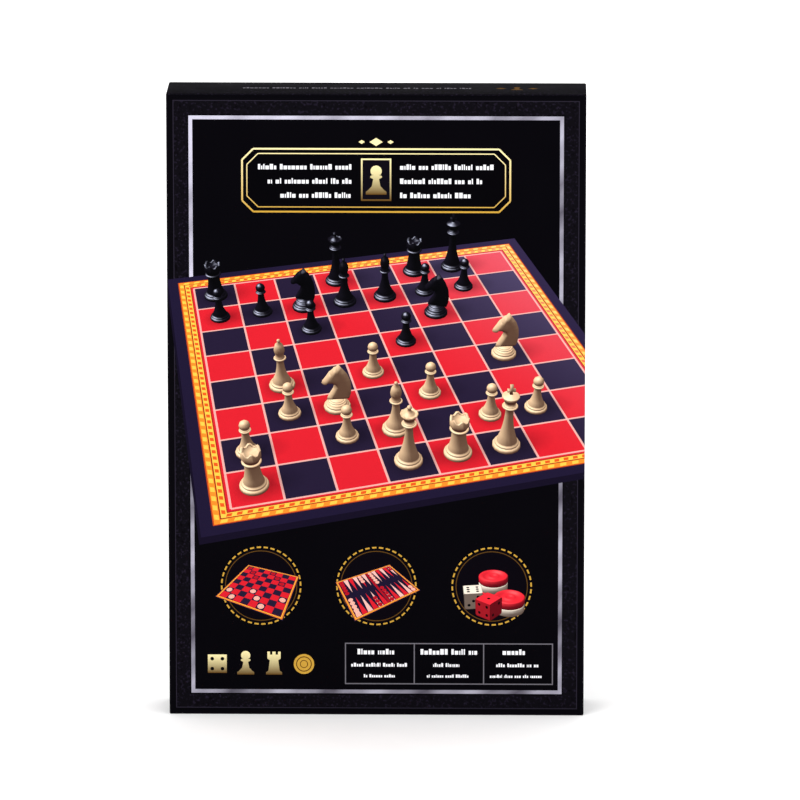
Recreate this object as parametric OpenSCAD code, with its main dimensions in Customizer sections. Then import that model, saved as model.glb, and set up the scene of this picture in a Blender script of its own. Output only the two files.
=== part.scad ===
// Games compendium box: a lift-off lid over a base, and inside it moulded trays and risers
// with chessmen, draughts and dice, a folded rules sheet and a folding two-sided board.
// The closed box stands on its lower end. The lid's front panel faces -Y.
// Its outside follows from what it holds: 263 wide, 45 deep and 400 high as drawn.

/* [Board] */
// Width of one board half
half_w = 190; // [150:1:230]
// Height of the board
board_h = 380; // [340:1:460]
// Plain margin outside the squares
board_margin = 30; // [20:1:36]
// Thickness of a board half's greyboard
core_t = 2; // [1.6:0.1:3]
// Thickness of a printed sheet on the board
sheet_t = 0.25; // [0.15:0.05:0.4]
// Gap between the halves when folded
fold_gap = 0.6; // [0.5:0.1:1]
// Thickness of the spine tape
tape_t = 0.2; // [0.15:0.05:0.2]
// Width of the spine tape on each half
tape_w = 9; // [6:1:20]
// Radius of the fold's round edge, on the hinge axis
bead_r = 0.2; // [0.15:0.01:0.25]
// Distance from the edge of a half to the hinge axis
spine_gap = 0.3; // [0.3:0.05:0.6]

/* [Rules sheet] */
// Width of the folded sheet
rules_w = 148; // [120:1:150]
// Height of the folded sheet
rules_h = 210; // [160:1:240]
// Thickness of one leaf
leaf_t = 0.3; // [0.2:0.05:0.4]
// Gap between the two leaves
leaf_gap = 0.3; // [0.2:0.05:0.4]

/* [Chessmen] */
// An officer's foot, as a share of a square of the board
officer_share = 0.5625; // [0.45:0.0125:0.6]
// A pawn's foot, as a share of a square of the board
pawn_share = 0.475; // [0.4:0.0125:0.55]
// Height of the king
king_h = 62; // [52:1:76]
// Height of the queen
queen_h = 57; // [48:1:70]
// Height of a bishop
bishop_h = 50; // [42:1:62]
// Height of a knight
knight_h = 46; // [38:1:56]
// Height of a rook
rook_h = 38; // [32:1:48]
// Height of a pawn
pawn_h = 33; // [28:1:42]

/* [Draughts and dice] */
// Diameter of a draught
draught_d = 26; // [20:0.5:30]
// Thickness of a draught
draught_t = 6.5; // [5:0.25:8]
// Draughts of each colour
draught_n = 15; // [12:1:16]
// Gap between stacked draughts
draught_gap = 0.1; // [0.05:0.05:0.3]
// Edge of a die
die_s = 14; // [10:1:18]
// Edge of the doubling cube
cube_s = 20; // [16:1:24]

/* [Trays] */
// Wall of the moulded trays
tray_t = 1; // [0.8:0.1:1.2]
// Plain deck between two rows of wells
row_gap = 8; // [6:1:12]
// Wall round a stack's trough
trough_wall = 1.75; // [1.5:0.25:4]
// Land over and under the board
end_land = 4.5; // [3:0.5:10]
// Open gap for a finger, between a stack tray and a riser
finger_gap = 24; // [18:1:30]
// Length along the pieces of the low bar that holds their feet
bar_t = 2.5; // [1.5:0.5:4]
// Height of the trays' hollow feet under the deepest well
under_gap = 3.7; // [2:0.1:12]

/* [Card and paper] */
// Thickness of the chipboard in lid and base
board_t = 1.5; // [1:0.1:2.5]
// Thickness of the printed wrap
wrap_t = 0.3; // [0.2:0.05:0.4]
// How far the wrap turns in over a rim
turn_in = 15; // [6:1:25]
// Thickness of the paper stays at the corners
stay_t = 0.2; // [0.1:0.05:0.4]
// Leg of a corner stay on each wall
stay_leg = 12; // [6:1:20]
// How far the lid's rim stops short of the back panel
rim_reveal = 2.5; // [1:0.5:10]

/* [Fits] */
// Gap between lid and base, all round and in front
lid_gap = 0.5; // [0.3:0.1:1]
// Gap between the base and a tray, and between two trays
tray_gap = 0.3; // [0.2:0.1:0.6]
// Gap from a loose piece to the seat it rests on
seat_gap = 0.3; // [0.2:0.05:0.5]
// Gap beside a loose piece in its well
side_gap = 0.5; // [0.4:0.1:0.8]
// Gap between neighbours in a row of chessmen
piece_gap = 0.8; // [0.6:0.1:2]
// Free height over the pieces in a well
headroom = 6; // [4.8:0.1:8]

/* [Hidden] */
$fn = 64;
eps = 0.01;

// Skin of lid and base: wrap outside, chipboard, and wrap again where it turns in
skin = wrap_t + board_t;
mouth = skin + wrap_t;

// Feet of the chessmen, which have to suit the squares
square = (half_w - board_margin) / 4;
officer_d = officer_share * square;
pawn_d = pawn_share * square;

// Depths of the layers, measured from the lid's front face
half_t = core_t + 2 * sheet_t;
rules_t = 2 * leaf_t + leaf_gap;
shoulder_depth = skin + lid_gap;
deck_depth = shoulder_depth + 2 * half_t + fold_gap + 2 * seat_gap + rules_t;
floor_depth = seat_gap + headroom + max(
    deck_depth + max(officer_d, pawn_d, cube_s, die_s), shoulder_depth + draught_d
);
box_d = floor_depth + tray_t + under_gap + tray_gap + skin;

// Levels from front to back
shoulder_y = shoulder_depth - box_d / 2;
fold_y = shoulder_y + half_t + fold_gap / 2;
board_back_y = fold_y + fold_gap / 2 + half_t;
rules_y = board_back_y + seat_gap;
deck_y = deck_depth - box_d / 2;
tray_back_y = box_d / 2 - skin - tray_gap;

// Board and its berth between the stack trays and risers
spine_x = half_w / 2 + spine_gap;
berth_w = 2 * (spine_x + bead_r + side_gap);
berth_h = board_h + 2 * side_gap;

// Rows of chessmen in the centre tray: officers at the ends, pawns next to them
pitch = max(officer_d, pawn_d) + piece_gap;
row_w = 8 * pitch + side_gap;
officer_len = max(king_h, queen_h, bishop_h, knight_h, rook_h) + 5 * seat_gap;
pawn_len = pawn_h + 5 * seat_gap;

// Dice well in the middle of the deck
dice_step = die_s + 2 * side_gap;
dice_w = 4 * dice_step + cube_s + 2 * side_gap;
dice_len = max(cube_s, die_s) + 2 * side_gap;

// Stack trays for the draughts, one on each side of the board
trough_w = draught_d + 2 * side_gap;
trough_len = draught_n * (draught_t + draught_gap) + 4 * side_gap;
side_w = trough_w + 2 * trough_wall;
stack_len = trough_len + 2 * trough_wall;

// Trays, base and box, outside sizes
core_w = max(berth_w, row_w + 2 * (tray_t + tray_gap));
core_h = max(berth_h, 2 * (officer_len + pawn_len + 3 * row_gap) + dice_len);
centre_w = core_w - 2 * tray_gap;
tray_w = core_w + 2 * side_w;
tray_h = core_h + 2 * end_land;
riser_len = (tray_h - stack_len) / 2 - finger_gap;
base_w = tray_w + 2 * (mouth + tray_gap);
base_h = tray_h + 2 * (mouth + tray_gap);
box_w = base_w + 2 * (mouth + lid_gap);
box_h = base_h + 2 * (mouth + lid_gap);
lid_d = box_d - rim_reveal;
base_d = box_d - shoulder_depth;

// Heights of wells and board
mid_z = box_h / 2;
board_z = mid_z - berth_h / 2 + seat_gap;
ivory_officer_z = mid_z - core_h / 2 + row_gap;
ivory_pawn_z = ivory_officer_z + officer_len + row_gap;
black_officer_z = mid_z + core_h / 2 - row_gap - officer_len;
black_pawn_z = black_officer_z - row_gap - pawn_len;
dice_z = mid_z - dice_len / 2;
trough_z = mid_z - trough_len / 2;
upper_riser_z = mid_z + (tray_h - riser_len) / 2;
lower_riser_z = mid_z - (tray_h - riser_len) / 2;

// Floors of the wells, and the axes of the pieces that lie on them
officer_floor_y = deck_y + headroom + officer_d + seat_gap;
pawn_floor_y = deck_y + headroom + pawn_d + seat_gap;
dice_floor_y = deck_y + headroom + max(cube_s, die_s) + seat_gap;
trough_floor_y = shoulder_y + headroom + draught_d + seat_gap;
officer_y = officer_floor_y - seat_gap - officer_d / 2;
pawn_y = pawn_floor_y - seat_gap - pawn_d / 2;
trough_x = (core_w + side_w) / 2;
trough_y = trough_floor_y - seat_gap - draught_d / 2;

// A block between two Y levels, centred on X and on Z = 0
module slab(w, h, y0, y1) {
    translate([-w / 2, y0, -h / 2]) cube([w, y1 - y0, h]);
}

// Lid and base are alike: the outer panel lies at Y = 0 and the rim at Y = d
module stays(w, h, d) {
    cw = w - 2 * wrap_t;
    ch = h - 2 * wrap_t;
    for (sx = [-1, 1], sz = [-1, 1])
        scale([sx, 1, sz]) translate([-cw / 2, wrap_t + board_t, -ch / 2]) difference() {
            cube([stay_leg, d - 2 * wrap_t - board_t, stay_leg]);
            translate([stay_t, -eps, stay_t]) cube([stay_leg, d, stay_leg]);
        }
}

module card_shell(w, h, d) {
    difference() {
        slab(w - 2 * wrap_t, h - 2 * wrap_t, wrap_t, d - wrap_t);
        slab(w - 2 * skin, h - 2 * skin, skin, d);
        stays(w, h, d);
    }
}

module wrap_shell(w, h, d) {
    difference() {
        slab(w, h, 0, d);
        slab(w - 2 * wrap_t, h - 2 * wrap_t, wrap_t, d - wrap_t);
        slab(w - 2 * mouth, h - 2 * mouth, wrap_t, d + 1);
    }
    difference() {
        slab(w - 2 * skin, h - 2 * skin, d - turn_in, d - wrap_t / 2);
        slab(w - 2 * mouth, h - 2 * mouth, d - turn_in - 1, d + 1);
    }
}

module at_lid() {
    translate([0, -box_d / 2, mid_z]) children();
}

module at_base() {
    translate([0, box_d / 2, mid_z]) mirror([0, 1, 0]) children();
}

module lid_card() { color("tan") at_lid() card_shell(box_w, box_h, lid_d); }
module lid_wrap() { color("midnightblue") at_lid() wrap_shell(box_w, box_h, lid_d); }
module lid_corner_stays() { color("wheat") at_lid() stays(box_w, box_h, lid_d); }
module base_card() { color("tan") at_base() card_shell(base_w, base_h, base_d); }
module base_wrap() { color("dimgray") at_base() wrap_shell(base_w, base_h, base_d); }
module base_corner_stays() { color("wheat") at_base() stays(base_w, base_h, base_d); }

// A moulded block with its middle at height z, hollow from behind
module moulded_block(w, len, z, top_y) {
    translate([0, 0, z]) difference() {
        slab(w, len, top_y, tray_back_y);
        slab(w - 2 * tray_t, len - 2 * tray_t, top_y + tray_t, tray_back_y + 1);
    }
}

// A pocket is drawn a wall thicker for its outside, and from higher up for its hollow
module pocket(z, w, len, top_y, floor_y, grow, rise) {
    translate([-w / 2 - grow, top_y - rise, z - grow])
        cube([w + 2 * grow, floor_y + grow - top_y + rise, len + 2 * grow]);
}

module wells(grow, rise) {
    pocket(ivory_officer_z, row_w, officer_len, deck_y, officer_floor_y, grow, rise);
    pocket(ivory_pawn_z, row_w, pawn_len, deck_y, pawn_floor_y, grow, rise);
    pocket(black_pawn_z, row_w, pawn_len, deck_y, pawn_floor_y, grow, rise);
    pocket(black_officer_z, row_w, officer_len, deck_y, officer_floor_y, grow, rise);
    pocket(dice_z, dice_w, dice_len, deck_y, dice_floor_y, grow, rise);
}

// Low bar across a row well, just over the feet and clear of the stems
module foot_bar(well_z, foot_d, axis_y, floor_y) {
    top_y = axis_y + stem_share * foot_d + side_gap;
    translate([-row_w / 2 - eps, top_y, well_z + step_share * foot_d + 2 * seat_gap])
        cube([row_w + 2 * eps, floor_y - top_y + eps, bar_t]);
}

module centre_tray() {
    color([0.9, 0.88, 0.82]) {
        difference() {
            union() {
                moulded_block(centre_w, tray_h, mid_z, deck_y);
                wells(tray_t, 0);
            }
            wells(0, 1);
        }
        for (z = [ivory_officer_z, black_officer_z])
            foot_bar(z, officer_d, officer_y, officer_floor_y);
        for (z = [ivory_pawn_z, black_pawn_z])
            foot_bar(z, pawn_d, pawn_y, pawn_floor_y);
    }
}

// Tray with the trough for one stack of draughts
module stack_tray(side) {
    color([0.9, 0.88, 0.82]) translate([side * trough_x, 0, 0]) difference() {
        union() {
            moulded_block(side_w, stack_len, mid_z, shoulder_y);
            pocket(trough_z, trough_w, trough_len, shoulder_y, trough_floor_y, tray_t, 0);
        }
        pocket(trough_z, trough_w, trough_len, shoulder_y, trough_floor_y, 0, 1);
    }
}

// Plain block that fills the margin beside the board, over or under a stack tray
module riser(side, z) {
    color([0.9, 0.88, 0.82]) translate([side * trough_x, 0, 0])
        moulded_block(side_w, riser_len, z, shoulder_y);
}

module left_stack_tray() { stack_tray(-1); }
module right_stack_tray() { stack_tray(1); }
module left_upper_riser() { riser(-1, upper_riser_z); }
module left_lower_riser() { riser(-1, lower_riser_z); }
module right_upper_riser() { riser(1, upper_riser_z); }
module right_lower_riser() { riser(1, lower_riser_z); }

// Folded rules sheet between tray and board, its fold on the left
module rules_sheet() {
    color("whitesmoke") translate([0, 0, mid_z]) difference() {
        slab(rules_w, rules_h, rules_y, rules_y + rules_t);
        translate([leaf_t, 0, 0])
            slab(rules_w, rules_h + 2, rules_y + leaf_t, rules_y + leaf_t + leaf_gap);
    }
}

// Board: the left half lies on the rules sheet, and the right half is folded over it
module half_layer(y0, t) {
    translate([-half_w / 2, y0, board_z]) cube([half_w, t, board_h]);
}

module tape_leaf(y0, reach) {
    translate([half_w / 2 - tape_w, y0, board_z]) cube([tape_w + reach, tape_t, board_h]);
}

module board_card_left() {
    color("darkkhaki") half_layer(fold_y + fold_gap / 2 + sheet_t, core_t);
}
module board_card_right() {
    color("darkkhaki") half_layer(fold_y - fold_gap / 2 - sheet_t - core_t, core_t);
}
module chess_sheet_left() {
    color("firebrick") half_layer(fold_y + fold_gap / 2, sheet_t);
}
module chess_sheet_right() {
    color("firebrick") half_layer(fold_y - fold_gap / 2 - sheet_t, sheet_t);
}
module backgammon_sheet_left() {
    color("darkslateblue") half_layer(board_back_y - sheet_t, sheet_t);
}
module backgammon_sheet_right() {
    color("darkslateblue") half_layer(shoulder_y, sheet_t);
}
module spine_tape_left() {
    color("black") {
        tape_leaf(fold_y + fold_gap / 2 - tape_t, spine_gap);
        translate([spine_x, fold_y, board_z]) cylinder(r = bead_r, h = board_h);
    }
}
module spine_tape_right() {
    color("black") tape_leaf(fold_y - fold_gap / 2, 0);
}

// Turned profiles of the chessmen: a stepped foot, a hollow-sided stem and a collar.
// The step's height and the stem's radius above it are shares of the foot's diameter.
step_share = 0.30;
stem_share = 0.36;

function arc(cx, cy, r, from, to, n) =
    [for (i = [0 : n]) [cx + r * cos(from + (to - from) * i / n), cy + r * sin(from + (to - from) * i / n)]];

// Stem from the foot up to height neck_z, with neck radius neck_r
module turned_stem(d, neck_z, neck_r, collar_r) {
    foot = 0.13 * d;
    step = step_share * d;
    stem = stem_share * d;
    rotate_extrude() polygon(concat(
        [[0, 0], [d / 2 - 0.5, 0], [d / 2, 0.5], [d / 2, foot]],
        arc(d / 2 - foot, foot, foot, 0, 80, 3),
        [[stem, step]],
        [for (i = [1 : 5]) [
            neck_r + (stem - neck_r) * pow(1 - i / 5, 2.4),
            step + (neck_z - step) * i / 5
        ]],
        [[collar_r, neck_z + 0.3], [collar_r, neck_z + 1.3], [0, neck_z + 1.3]]
    ));
}

module pawn() {
    head_r = 0.235 * pawn_d;
    turned_stem(pawn_d, pawn_h - 2 * head_r - 0.8, 0.15 * pawn_d, 0.26 * pawn_d);
    translate([0, 0, pawn_h - head_r]) sphere(r = head_r);
}

module rook() {
    top_r = 0.34 * officer_d;
    tower_z = 0.68 * rook_h;
    difference() {
        union() {
            turned_stem(officer_d, tower_z, 0.25 * officer_d, top_r);
            translate([0, 0, tower_z + 1.2]) cylinder(r1 = 0.28 * officer_d, r2 = top_r, h = 3);
            translate([0, 0, tower_z + 4.1]) cylinder(r = top_r, h = rook_h - tower_z - 4.1);
        }
        translate([0, 0, rook_h - 3]) cylinder(r = top_r - 2, h = 4);
        for (a = [0, 45, 90, 135])
            rotate([0, 0, a]) translate([-officer_d / 2, -1, rook_h - 2.4]) cube([officer_d, 2, 4]);
    }
}

module bishop() {
    neck_z = 0.60 * bishop_h;
    head_r = 0.22 * officer_d;
    ball_r = 1.6;
    head_h = bishop_h - neck_z - 1 - 1.5 * ball_r;
    turned_stem(officer_d, neck_z, 0.13 * officer_d, 0.24 * officer_d);
    difference() {
        translate([0, 0, neck_z + 1]) rotate_extrude() polygon(concat(
            [[0, 0], [0.6 * head_r, 0]],
            [for (i = [1 : 6]) let (u = i / 7) [
                head_r * sin(25 + 140 * u) * (1 - 0.18 * u), head_h * u
            ]],
            [[0, head_h]]
        ));
        translate([0, 0, neck_z + 0.62 * head_h]) rotate([0, -38, 0])
            translate([0, -officer_d / 2, 0]) cube([officer_d, officer_d, 1]);
    }
    translate([0, 0, bishop_h - ball_r]) sphere(r = ball_r);
}

module queen() {
    neck_z = 0.68 * queen_h;
    cup_z = neck_z + 1.2;
    cup_h = 0.17 * queen_h;
    ball_r = 2;
    rim_r = 0.31 * officer_d;
    turned_stem(officer_d, neck_z, 0.13 * officer_d, 0.27 * officer_d);
    difference() {
        translate([0, 0, cup_z]) cylinder(r1 = 0.17 * officer_d, r2 = rim_r, h = cup_h);
        for (a = [0 : 30 : 150])
            rotate([0, 0, a]) translate([-officer_d / 2, -0.7, cup_z + cup_h - 1])
                cube([officer_d, 1.4, 2]);
    }
    translate([0, 0, cup_z + cup_h - 1.5])
        cylinder(r1 = 0.24 * officer_d, r2 = 1, h = queen_h - cup_z - cup_h + 1.5 - ball_r);
    translate([0, 0, queen_h - ball_r]) sphere(r = ball_r);
}

module king() {
    neck_z = 0.66 * king_h;
    cup_z = neck_z + 1.2;
    cup_h = 0.15 * king_h;
    cross_h = 0.14 * king_h;
    bar = 2.2;
    turned_stem(officer_d, neck_z, 0.14 * officer_d, 0.28 * officer_d);
    translate([0, 0, cup_z]) cylinder(r1 = 0.18 * officer_d, r2 = 0.31 * officer_d, h = cup_h);
    translate([0, 0, cup_z + cup_h - eps])
        cylinder(r1 = 0.29 * officer_d, r2 = 1.5, h = king_h - cross_h - cup_z - cup_h + 0.5);
    translate([-bar / 2, -bar / 2, king_h - cross_h]) cube([bar, bar, cross_h]);
    translate([-cross_h * 0.36, -bar / 2, king_h - 0.72 * cross_h])
        cube([cross_h * 0.72, bar, bar]);
}

// Horse's head in the XZ plane, nose to -X, as shares of its own height
function horse(h) = h * [
    [0.27, 0.00], [0.30, 0.20], [0.30, 0.45], [0.25, 0.68], [0.15, 0.86], [0.06, 1.00],
    [0.01, 0.92], [-0.09, 0.86], [-0.20, 0.73], [-0.30, 0.58], [-0.31, 0.50], [-0.26, 0.45],
    [-0.15, 0.50], [-0.05, 0.51], [-0.03, 0.46], [-0.12, 0.32], [-0.20, 0.16], [-0.23, 0.00]
];

module knight() {
    stem_z = 0.30 * officer_d;
    turned_stem(officer_d, stem_z + 2, 0.27 * officer_d, 0.34 * officer_d);
    intersection() {
        translate([0, 0, stem_z + 3]) rotate([90, 0, 0])
            linear_extrude(0.36 * officer_d, center = true) polygon(horse(knight_h - stem_z - 3));
        translate([0, 0, stem_z])
            cylinder(r = officer_d / 2, h = knight_h);
    }
}

// One row of officers is rook, knight, bishop, queen, king, bishop, knight, rook
module in_row(places, z, y) {
    for (i = places) translate([(i - 3.5) * pitch, y, z + seat_gap]) children();
}

module ivory(places) { color("ivory") in_row(places, ivory_officer_z, officer_y) children(); }
module black(places) { color([0.12, 0.1, 0.14]) in_row(places, black_officer_z, officer_y) children(); }

module ivory_king() { ivory([4]) king(); }
module ivory_queen() { ivory([3]) queen(); }
module ivory_bishops() { ivory([2, 5]) bishop(); }
module ivory_knights() { ivory([1, 6]) knight(); }
module ivory_rooks() { ivory([0, 7]) rook(); }
module ivory_pawns() { color("ivory") in_row([0 : 7], ivory_pawn_z, pawn_y) pawn(); }
module black_king() { black([4]) king(); }
module black_queen() { black([3]) queen(); }
module black_bishops() { black([2, 5]) bishop(); }
module black_knights() { black([1, 6]) knight(); }
module black_rooks() { black([0, 7]) rook(); }
module black_pawns() { color([0.12, 0.1, 0.14]) in_row([0 : 7], black_pawn_z, pawn_y) pawn(); }

// A draught is turned alike on both faces, with a dished middle and a ring
module draught() {
    r = draught_d / 2;
    dish = 0.1 * draught_t;
    half = [
        [0, dish], [0.42 * r, dish], [0.50 * r, 0.2 * dish], [0.58 * r, dish],
        [0.76 * r, dish], [0.82 * r, 0], [r - 0.6, 0], [r, 0.6]
    ];
    rotate_extrude() polygon(concat(
        half,
        [for (i = [len(half) - 1 : -1 : 0]) [half[i][0], draught_t - half[i][1]]]
    ));
}

module stack(side) {
    for (i = [0 : draught_n - 1])
        translate([side * trough_x, trough_y, trough_z + seat_gap + i * (draught_t + draught_gap)])
            draught();
}

module red_draughts() { color("firebrick") stack(-1); }
module black_draughts() { color([0.12, 0.1, 0.14]) stack(1); }

// Rounded cube that stands in the dice well
module cubelet(s, x) {
    translate([x, dice_floor_y - seat_gap - s / 2, dice_z + seat_gap + s / 2]) intersection() {
        cube(s, center = true);
        sphere(r = 0.77 * s);
    }
}

module dice_pair(places) {
    first = cube_s / 2 + side_gap + dice_step / 2;
    for (p = places) cubelet(die_s, sign(p) * (first + (abs(p) - 1) * dice_step));
}

module ivory_dice() { color("ivory") dice_pair([-2, -1]); }
module black_dice() { color([0.12, 0.1, 0.14]) dice_pair([1, 2]); }
module doubling_cube() { color("ivory") cubelet(cube_s, 0); }

lid_card();
lid_wrap();
lid_corner_stays();
base_card();
base_wrap();
base_corner_stays();
centre_tray();
left_stack_tray();
right_stack_tray();
left_upper_riser();
left_lower_riser();
right_upper_riser();
right_lower_riser();
rules_sheet();
board_card_left();
board_card_right();
chess_sheet_left();
chess_sheet_right();
backgammon_sheet_left();
backgammon_sheet_right();
spine_tape_left();
spine_tape_right();
ivory_king();
ivory_queen();
ivory_bishops();
ivory_knights();
ivory_rooks();
ivory_pawns();
black_king();
black_queen();
black_bishops();
black_knights();
black_rooks();
black_pawns();
red_draughts();
black_draughts();
ivory_dice();
black_dice();
doubling_cube();
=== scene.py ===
"""Looks of the games compendium box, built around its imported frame.

Drawings and shapes are in millimetres, the camera and the stage in metres.
"""
import math

import bmesh
import bpy
import numpy as np
from mathutils import Matrix, Vector
from mathutils.geometry import delaunay_2d_cdt


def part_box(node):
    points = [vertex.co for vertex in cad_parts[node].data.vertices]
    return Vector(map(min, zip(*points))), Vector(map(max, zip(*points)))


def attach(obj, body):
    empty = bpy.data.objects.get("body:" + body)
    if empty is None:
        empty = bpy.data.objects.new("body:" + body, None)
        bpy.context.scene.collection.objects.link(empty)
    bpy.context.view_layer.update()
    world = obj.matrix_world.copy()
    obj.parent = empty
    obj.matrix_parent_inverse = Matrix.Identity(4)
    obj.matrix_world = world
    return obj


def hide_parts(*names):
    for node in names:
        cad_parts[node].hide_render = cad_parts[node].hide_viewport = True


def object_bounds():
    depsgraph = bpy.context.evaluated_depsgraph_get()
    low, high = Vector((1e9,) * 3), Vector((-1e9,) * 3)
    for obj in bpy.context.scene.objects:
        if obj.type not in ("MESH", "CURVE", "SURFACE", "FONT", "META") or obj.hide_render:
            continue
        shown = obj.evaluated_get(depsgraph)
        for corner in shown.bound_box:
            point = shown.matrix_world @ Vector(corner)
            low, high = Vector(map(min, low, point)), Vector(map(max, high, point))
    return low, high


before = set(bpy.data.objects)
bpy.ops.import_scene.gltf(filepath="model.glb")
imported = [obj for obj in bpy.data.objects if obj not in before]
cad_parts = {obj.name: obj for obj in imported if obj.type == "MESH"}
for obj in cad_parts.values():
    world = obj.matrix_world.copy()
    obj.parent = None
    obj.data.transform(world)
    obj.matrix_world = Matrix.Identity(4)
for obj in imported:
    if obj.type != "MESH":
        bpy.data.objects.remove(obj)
cad_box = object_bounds()

MM = 0.001
TURN = 2 * math.pi

# Drawings: corners this close are one, the smallest shape kept, and the cells by which shapes are found
WELD = 0.001
SMALLEST_SHAPE = 0.004
CELL = 3


def node_box(node):
    """Lowest and highest corner of a node, in millimetres."""
    lo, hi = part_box(node)
    return lo / MM, hi / MM


def polar(centre, radius, angle):
    """A point on a circle."""
    return centre[0] + radius * math.cos(angle), centre[1] + radius * math.sin(angle)


def view(azimuth, elevation):
    """The directions back, right and up of a view, from its angles in degrees."""
    a, e = math.radians(azimuth), math.radians(elevation)
    back = Vector((math.sin(a) * math.cos(e), -math.cos(a) * math.cos(e), math.sin(e)))
    right = Vector((math.cos(a), math.sin(a), 0))
    return back, right, back.cross(right)


def put_in_scene(name, data):
    """A new object of the scene."""
    thing = bpy.data.objects.new(name, data)
    bpy.context.scene.collection.objects.link(thing)
    return thing


def aim(thing, way):
    """Turns a camera or a lamp to look along a direction."""
    thing.rotation_mode = "QUATERNION"
    thing.rotation_quaternion = way.to_track_quat("-Z", "Y")


# Camera: a long lens, level with the photograph's view of the front and the top
CAMERA_AZIMUTH = 1.0
CAMERA_ELEVATION = 12.0
CAMERA_DISTANCE = 5.0
PIXELS_PER_METRE = 1580
IMAGE_SIZE = 800
SENSOR_WIDTH = 36
BOX_CENTRE_PIXEL = (377, 399.5)


def make_camera():
    data = bpy.data.cameras.new("camera")
    data.sensor_width = SENSOR_WIDTH
    data.lens = PIXELS_PER_METRE * CAMERA_DISTANCE / IMAGE_SIZE * SENSOR_WIDTH
    data.clip_start, data.clip_end = 0.1, 60
    camera = put_in_scene("camera", data)
    back, right, up = view(CAMERA_AZIMUTH, CAMERA_ELEVATION)
    across, down = (IMAGE_SIZE / 2 - p for p in BOX_CENTRE_PIXEL)
    target = (cad_box[0] + cad_box[1]) / 2 + (right * across - up * down) / PIXELS_PER_METRE
    camera.location = target + back * CAMERA_DISTANCE
    aim(camera, -back)
    bpy.context.scene.camera = camera


# Stage: a pale floor under a white studio, which is dimmer in what shines
FLOOR_RADIUS = 14
FLOOR_GLOW = (1.4, 3.6)
STUDIO_LIGHT = 0.8
STUDIO_IN_GLOSS = 0.16
STUDIO_SEEN = 1.0


def light(name, place, target, size, power):
    data = bpy.data.lights.new(name, "AREA")
    data.shape = "RECTANGLE"
    data.size, data.size_y = size
    data.energy = power
    lamp = put_in_scene(name, data)
    lamp.location = place
    aim(lamp, Vector(target) - Vector(place))
    lamp.visible_camera = False
    return lamp


def make_stage():
    scene = bpy.context.scene
    scene.view_settings.view_transform = "Standard"
    scene.view_settings.look = "None"
    scene.world = bpy.data.worlds.new("studio")
    scene.world.use_nodes = True
    tree = scene.world.node_tree
    surface = tree.nodes["Background"]
    rays = tree.nodes.new("ShaderNodeLightPath")
    gloss, seen = (tree.nodes.new("ShaderNodeMix") for _ in range(2))
    gloss.inputs["A"].default_value = STUDIO_LIGHT
    for level, ray, strength in ((gloss, "Glossy", STUDIO_IN_GLOSS), (seen, "Camera", STUDIO_SEEN)):
        tree.links.new(rays.outputs[f"Is {ray} Ray"], level.inputs["Factor"])
        level.inputs["B"].default_value = strength
    tree.links.new(gloss.outputs["Result"], seen.inputs["A"])
    tree.links.new(seen.outputs["Result"], surface.inputs["Strength"])
    surface.inputs["Color"].default_value = (1, 1, 1, 1)

    bm = bmesh.new()
    bmesh.ops.create_circle(bm, cap_ends=True, segments=96, radius=FLOOR_RADIUS)
    floor = add_object("floor", bm, [floor_material()])
    light("key", (-1.6, -2.2, 2.6), (0, 0, 0.2), (1.8, 1.8), 40)
    light("overhead", (0.3, 0.2, 3.4), (0, 0, 0), (4.0, 4.0), 60)
    light("fill", (2.2, -1.8, 1.2), (0, 0, 0.2), (1.6, 1.6), 10)
    light("back", (0.8, 2.6, 1.8), (0, 0, 0.2), (2.0, 1.6), 16).visible_glossy = False


# Materials
class Shader:
    """A principled material. Its methods add nodes and return their outputs."""

    def __init__(self, name, **sockets):
        self.material = bpy.data.materials.new(name)
        self.material.use_nodes = True
        self.tree = self.material.node_tree
        self.surface = self.tree.nodes["Principled BSDF"]
        self.put(self.surface, sockets)

    def put(self, node, sockets):
        for key, value in sockets.items():
            socket = node.inputs[key if isinstance(key, int) else key.replace("_", " ")]
            if isinstance(value, bpy.types.NodeSocket):
                self.tree.links.new(value, socket)
            elif isinstance(value, Vector) and socket.type == "RGBA":
                socket.default_value = (*value, 1)
            else:
                socket.default_value = value

    def add(self, kind, sockets, **settings):
        node = self.tree.nodes.new("ShaderNode" + kind)
        for key, value in settings.items():
            setattr(node, key, value)
        self.put(node, sockets)
        return node

    def place(self):
        return self.add("TexCoord", {}).outputs["Object"]

    def ink(self):
        """The print colours of the mesh."""
        return self.add("VertexColor", {}, layer_name="ink").outputs["Color"]

    def noise(self, scale, detail=2.0, stretch=(1, 1, 1)):
        """Noise with a cell of about scale millimetres."""
        place = self.add("Mapping", {"Vector": self.place(), "Scale": [s / (scale * MM) for s in stretch]})
        return self.add("TexNoise", {"Vector": place.outputs[0], "Scale": 1, "Detail": detail}).outputs[0]

    def ramp(self, value, low, high, to_low=0.0, to_high=1.0):
        sockets = {"Value": value, 1: low, 2: high, 3: to_low, 4: to_high}
        return self.add("MapRange", sockets, interpolation_type="SMOOTHSTEP").outputs[0]

    def math(self, operation, a, b):
        return self.add("Math", {0: a, 1: b}, operation=operation).outputs[0]

    def mix(self, factor, a, b):
        return self.add("Mix", {0: factor, 6: a, 7: b}, data_type="RGBA").outputs[2]

    def bump(self, height, depth, strength=1.0):
        """Relief of depth millimetres where height goes from 0 to 1."""
        node = self.add("Bump", {"Height": height, "Distance": depth * MM, "Strength": strength})
        self.put(self.surface, {"Normal": node.outputs[0]})


def rgb(code):
    """A colour such as 0xF52B35, in linear light."""
    channels = [(code >> shift & 255) / 255 for shift in (16, 8, 0)]
    return Vector([c / 12.92 if c <= 0.04045 else ((c + 0.055) / 1.055) ** 2.4 for c in channels])


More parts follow.
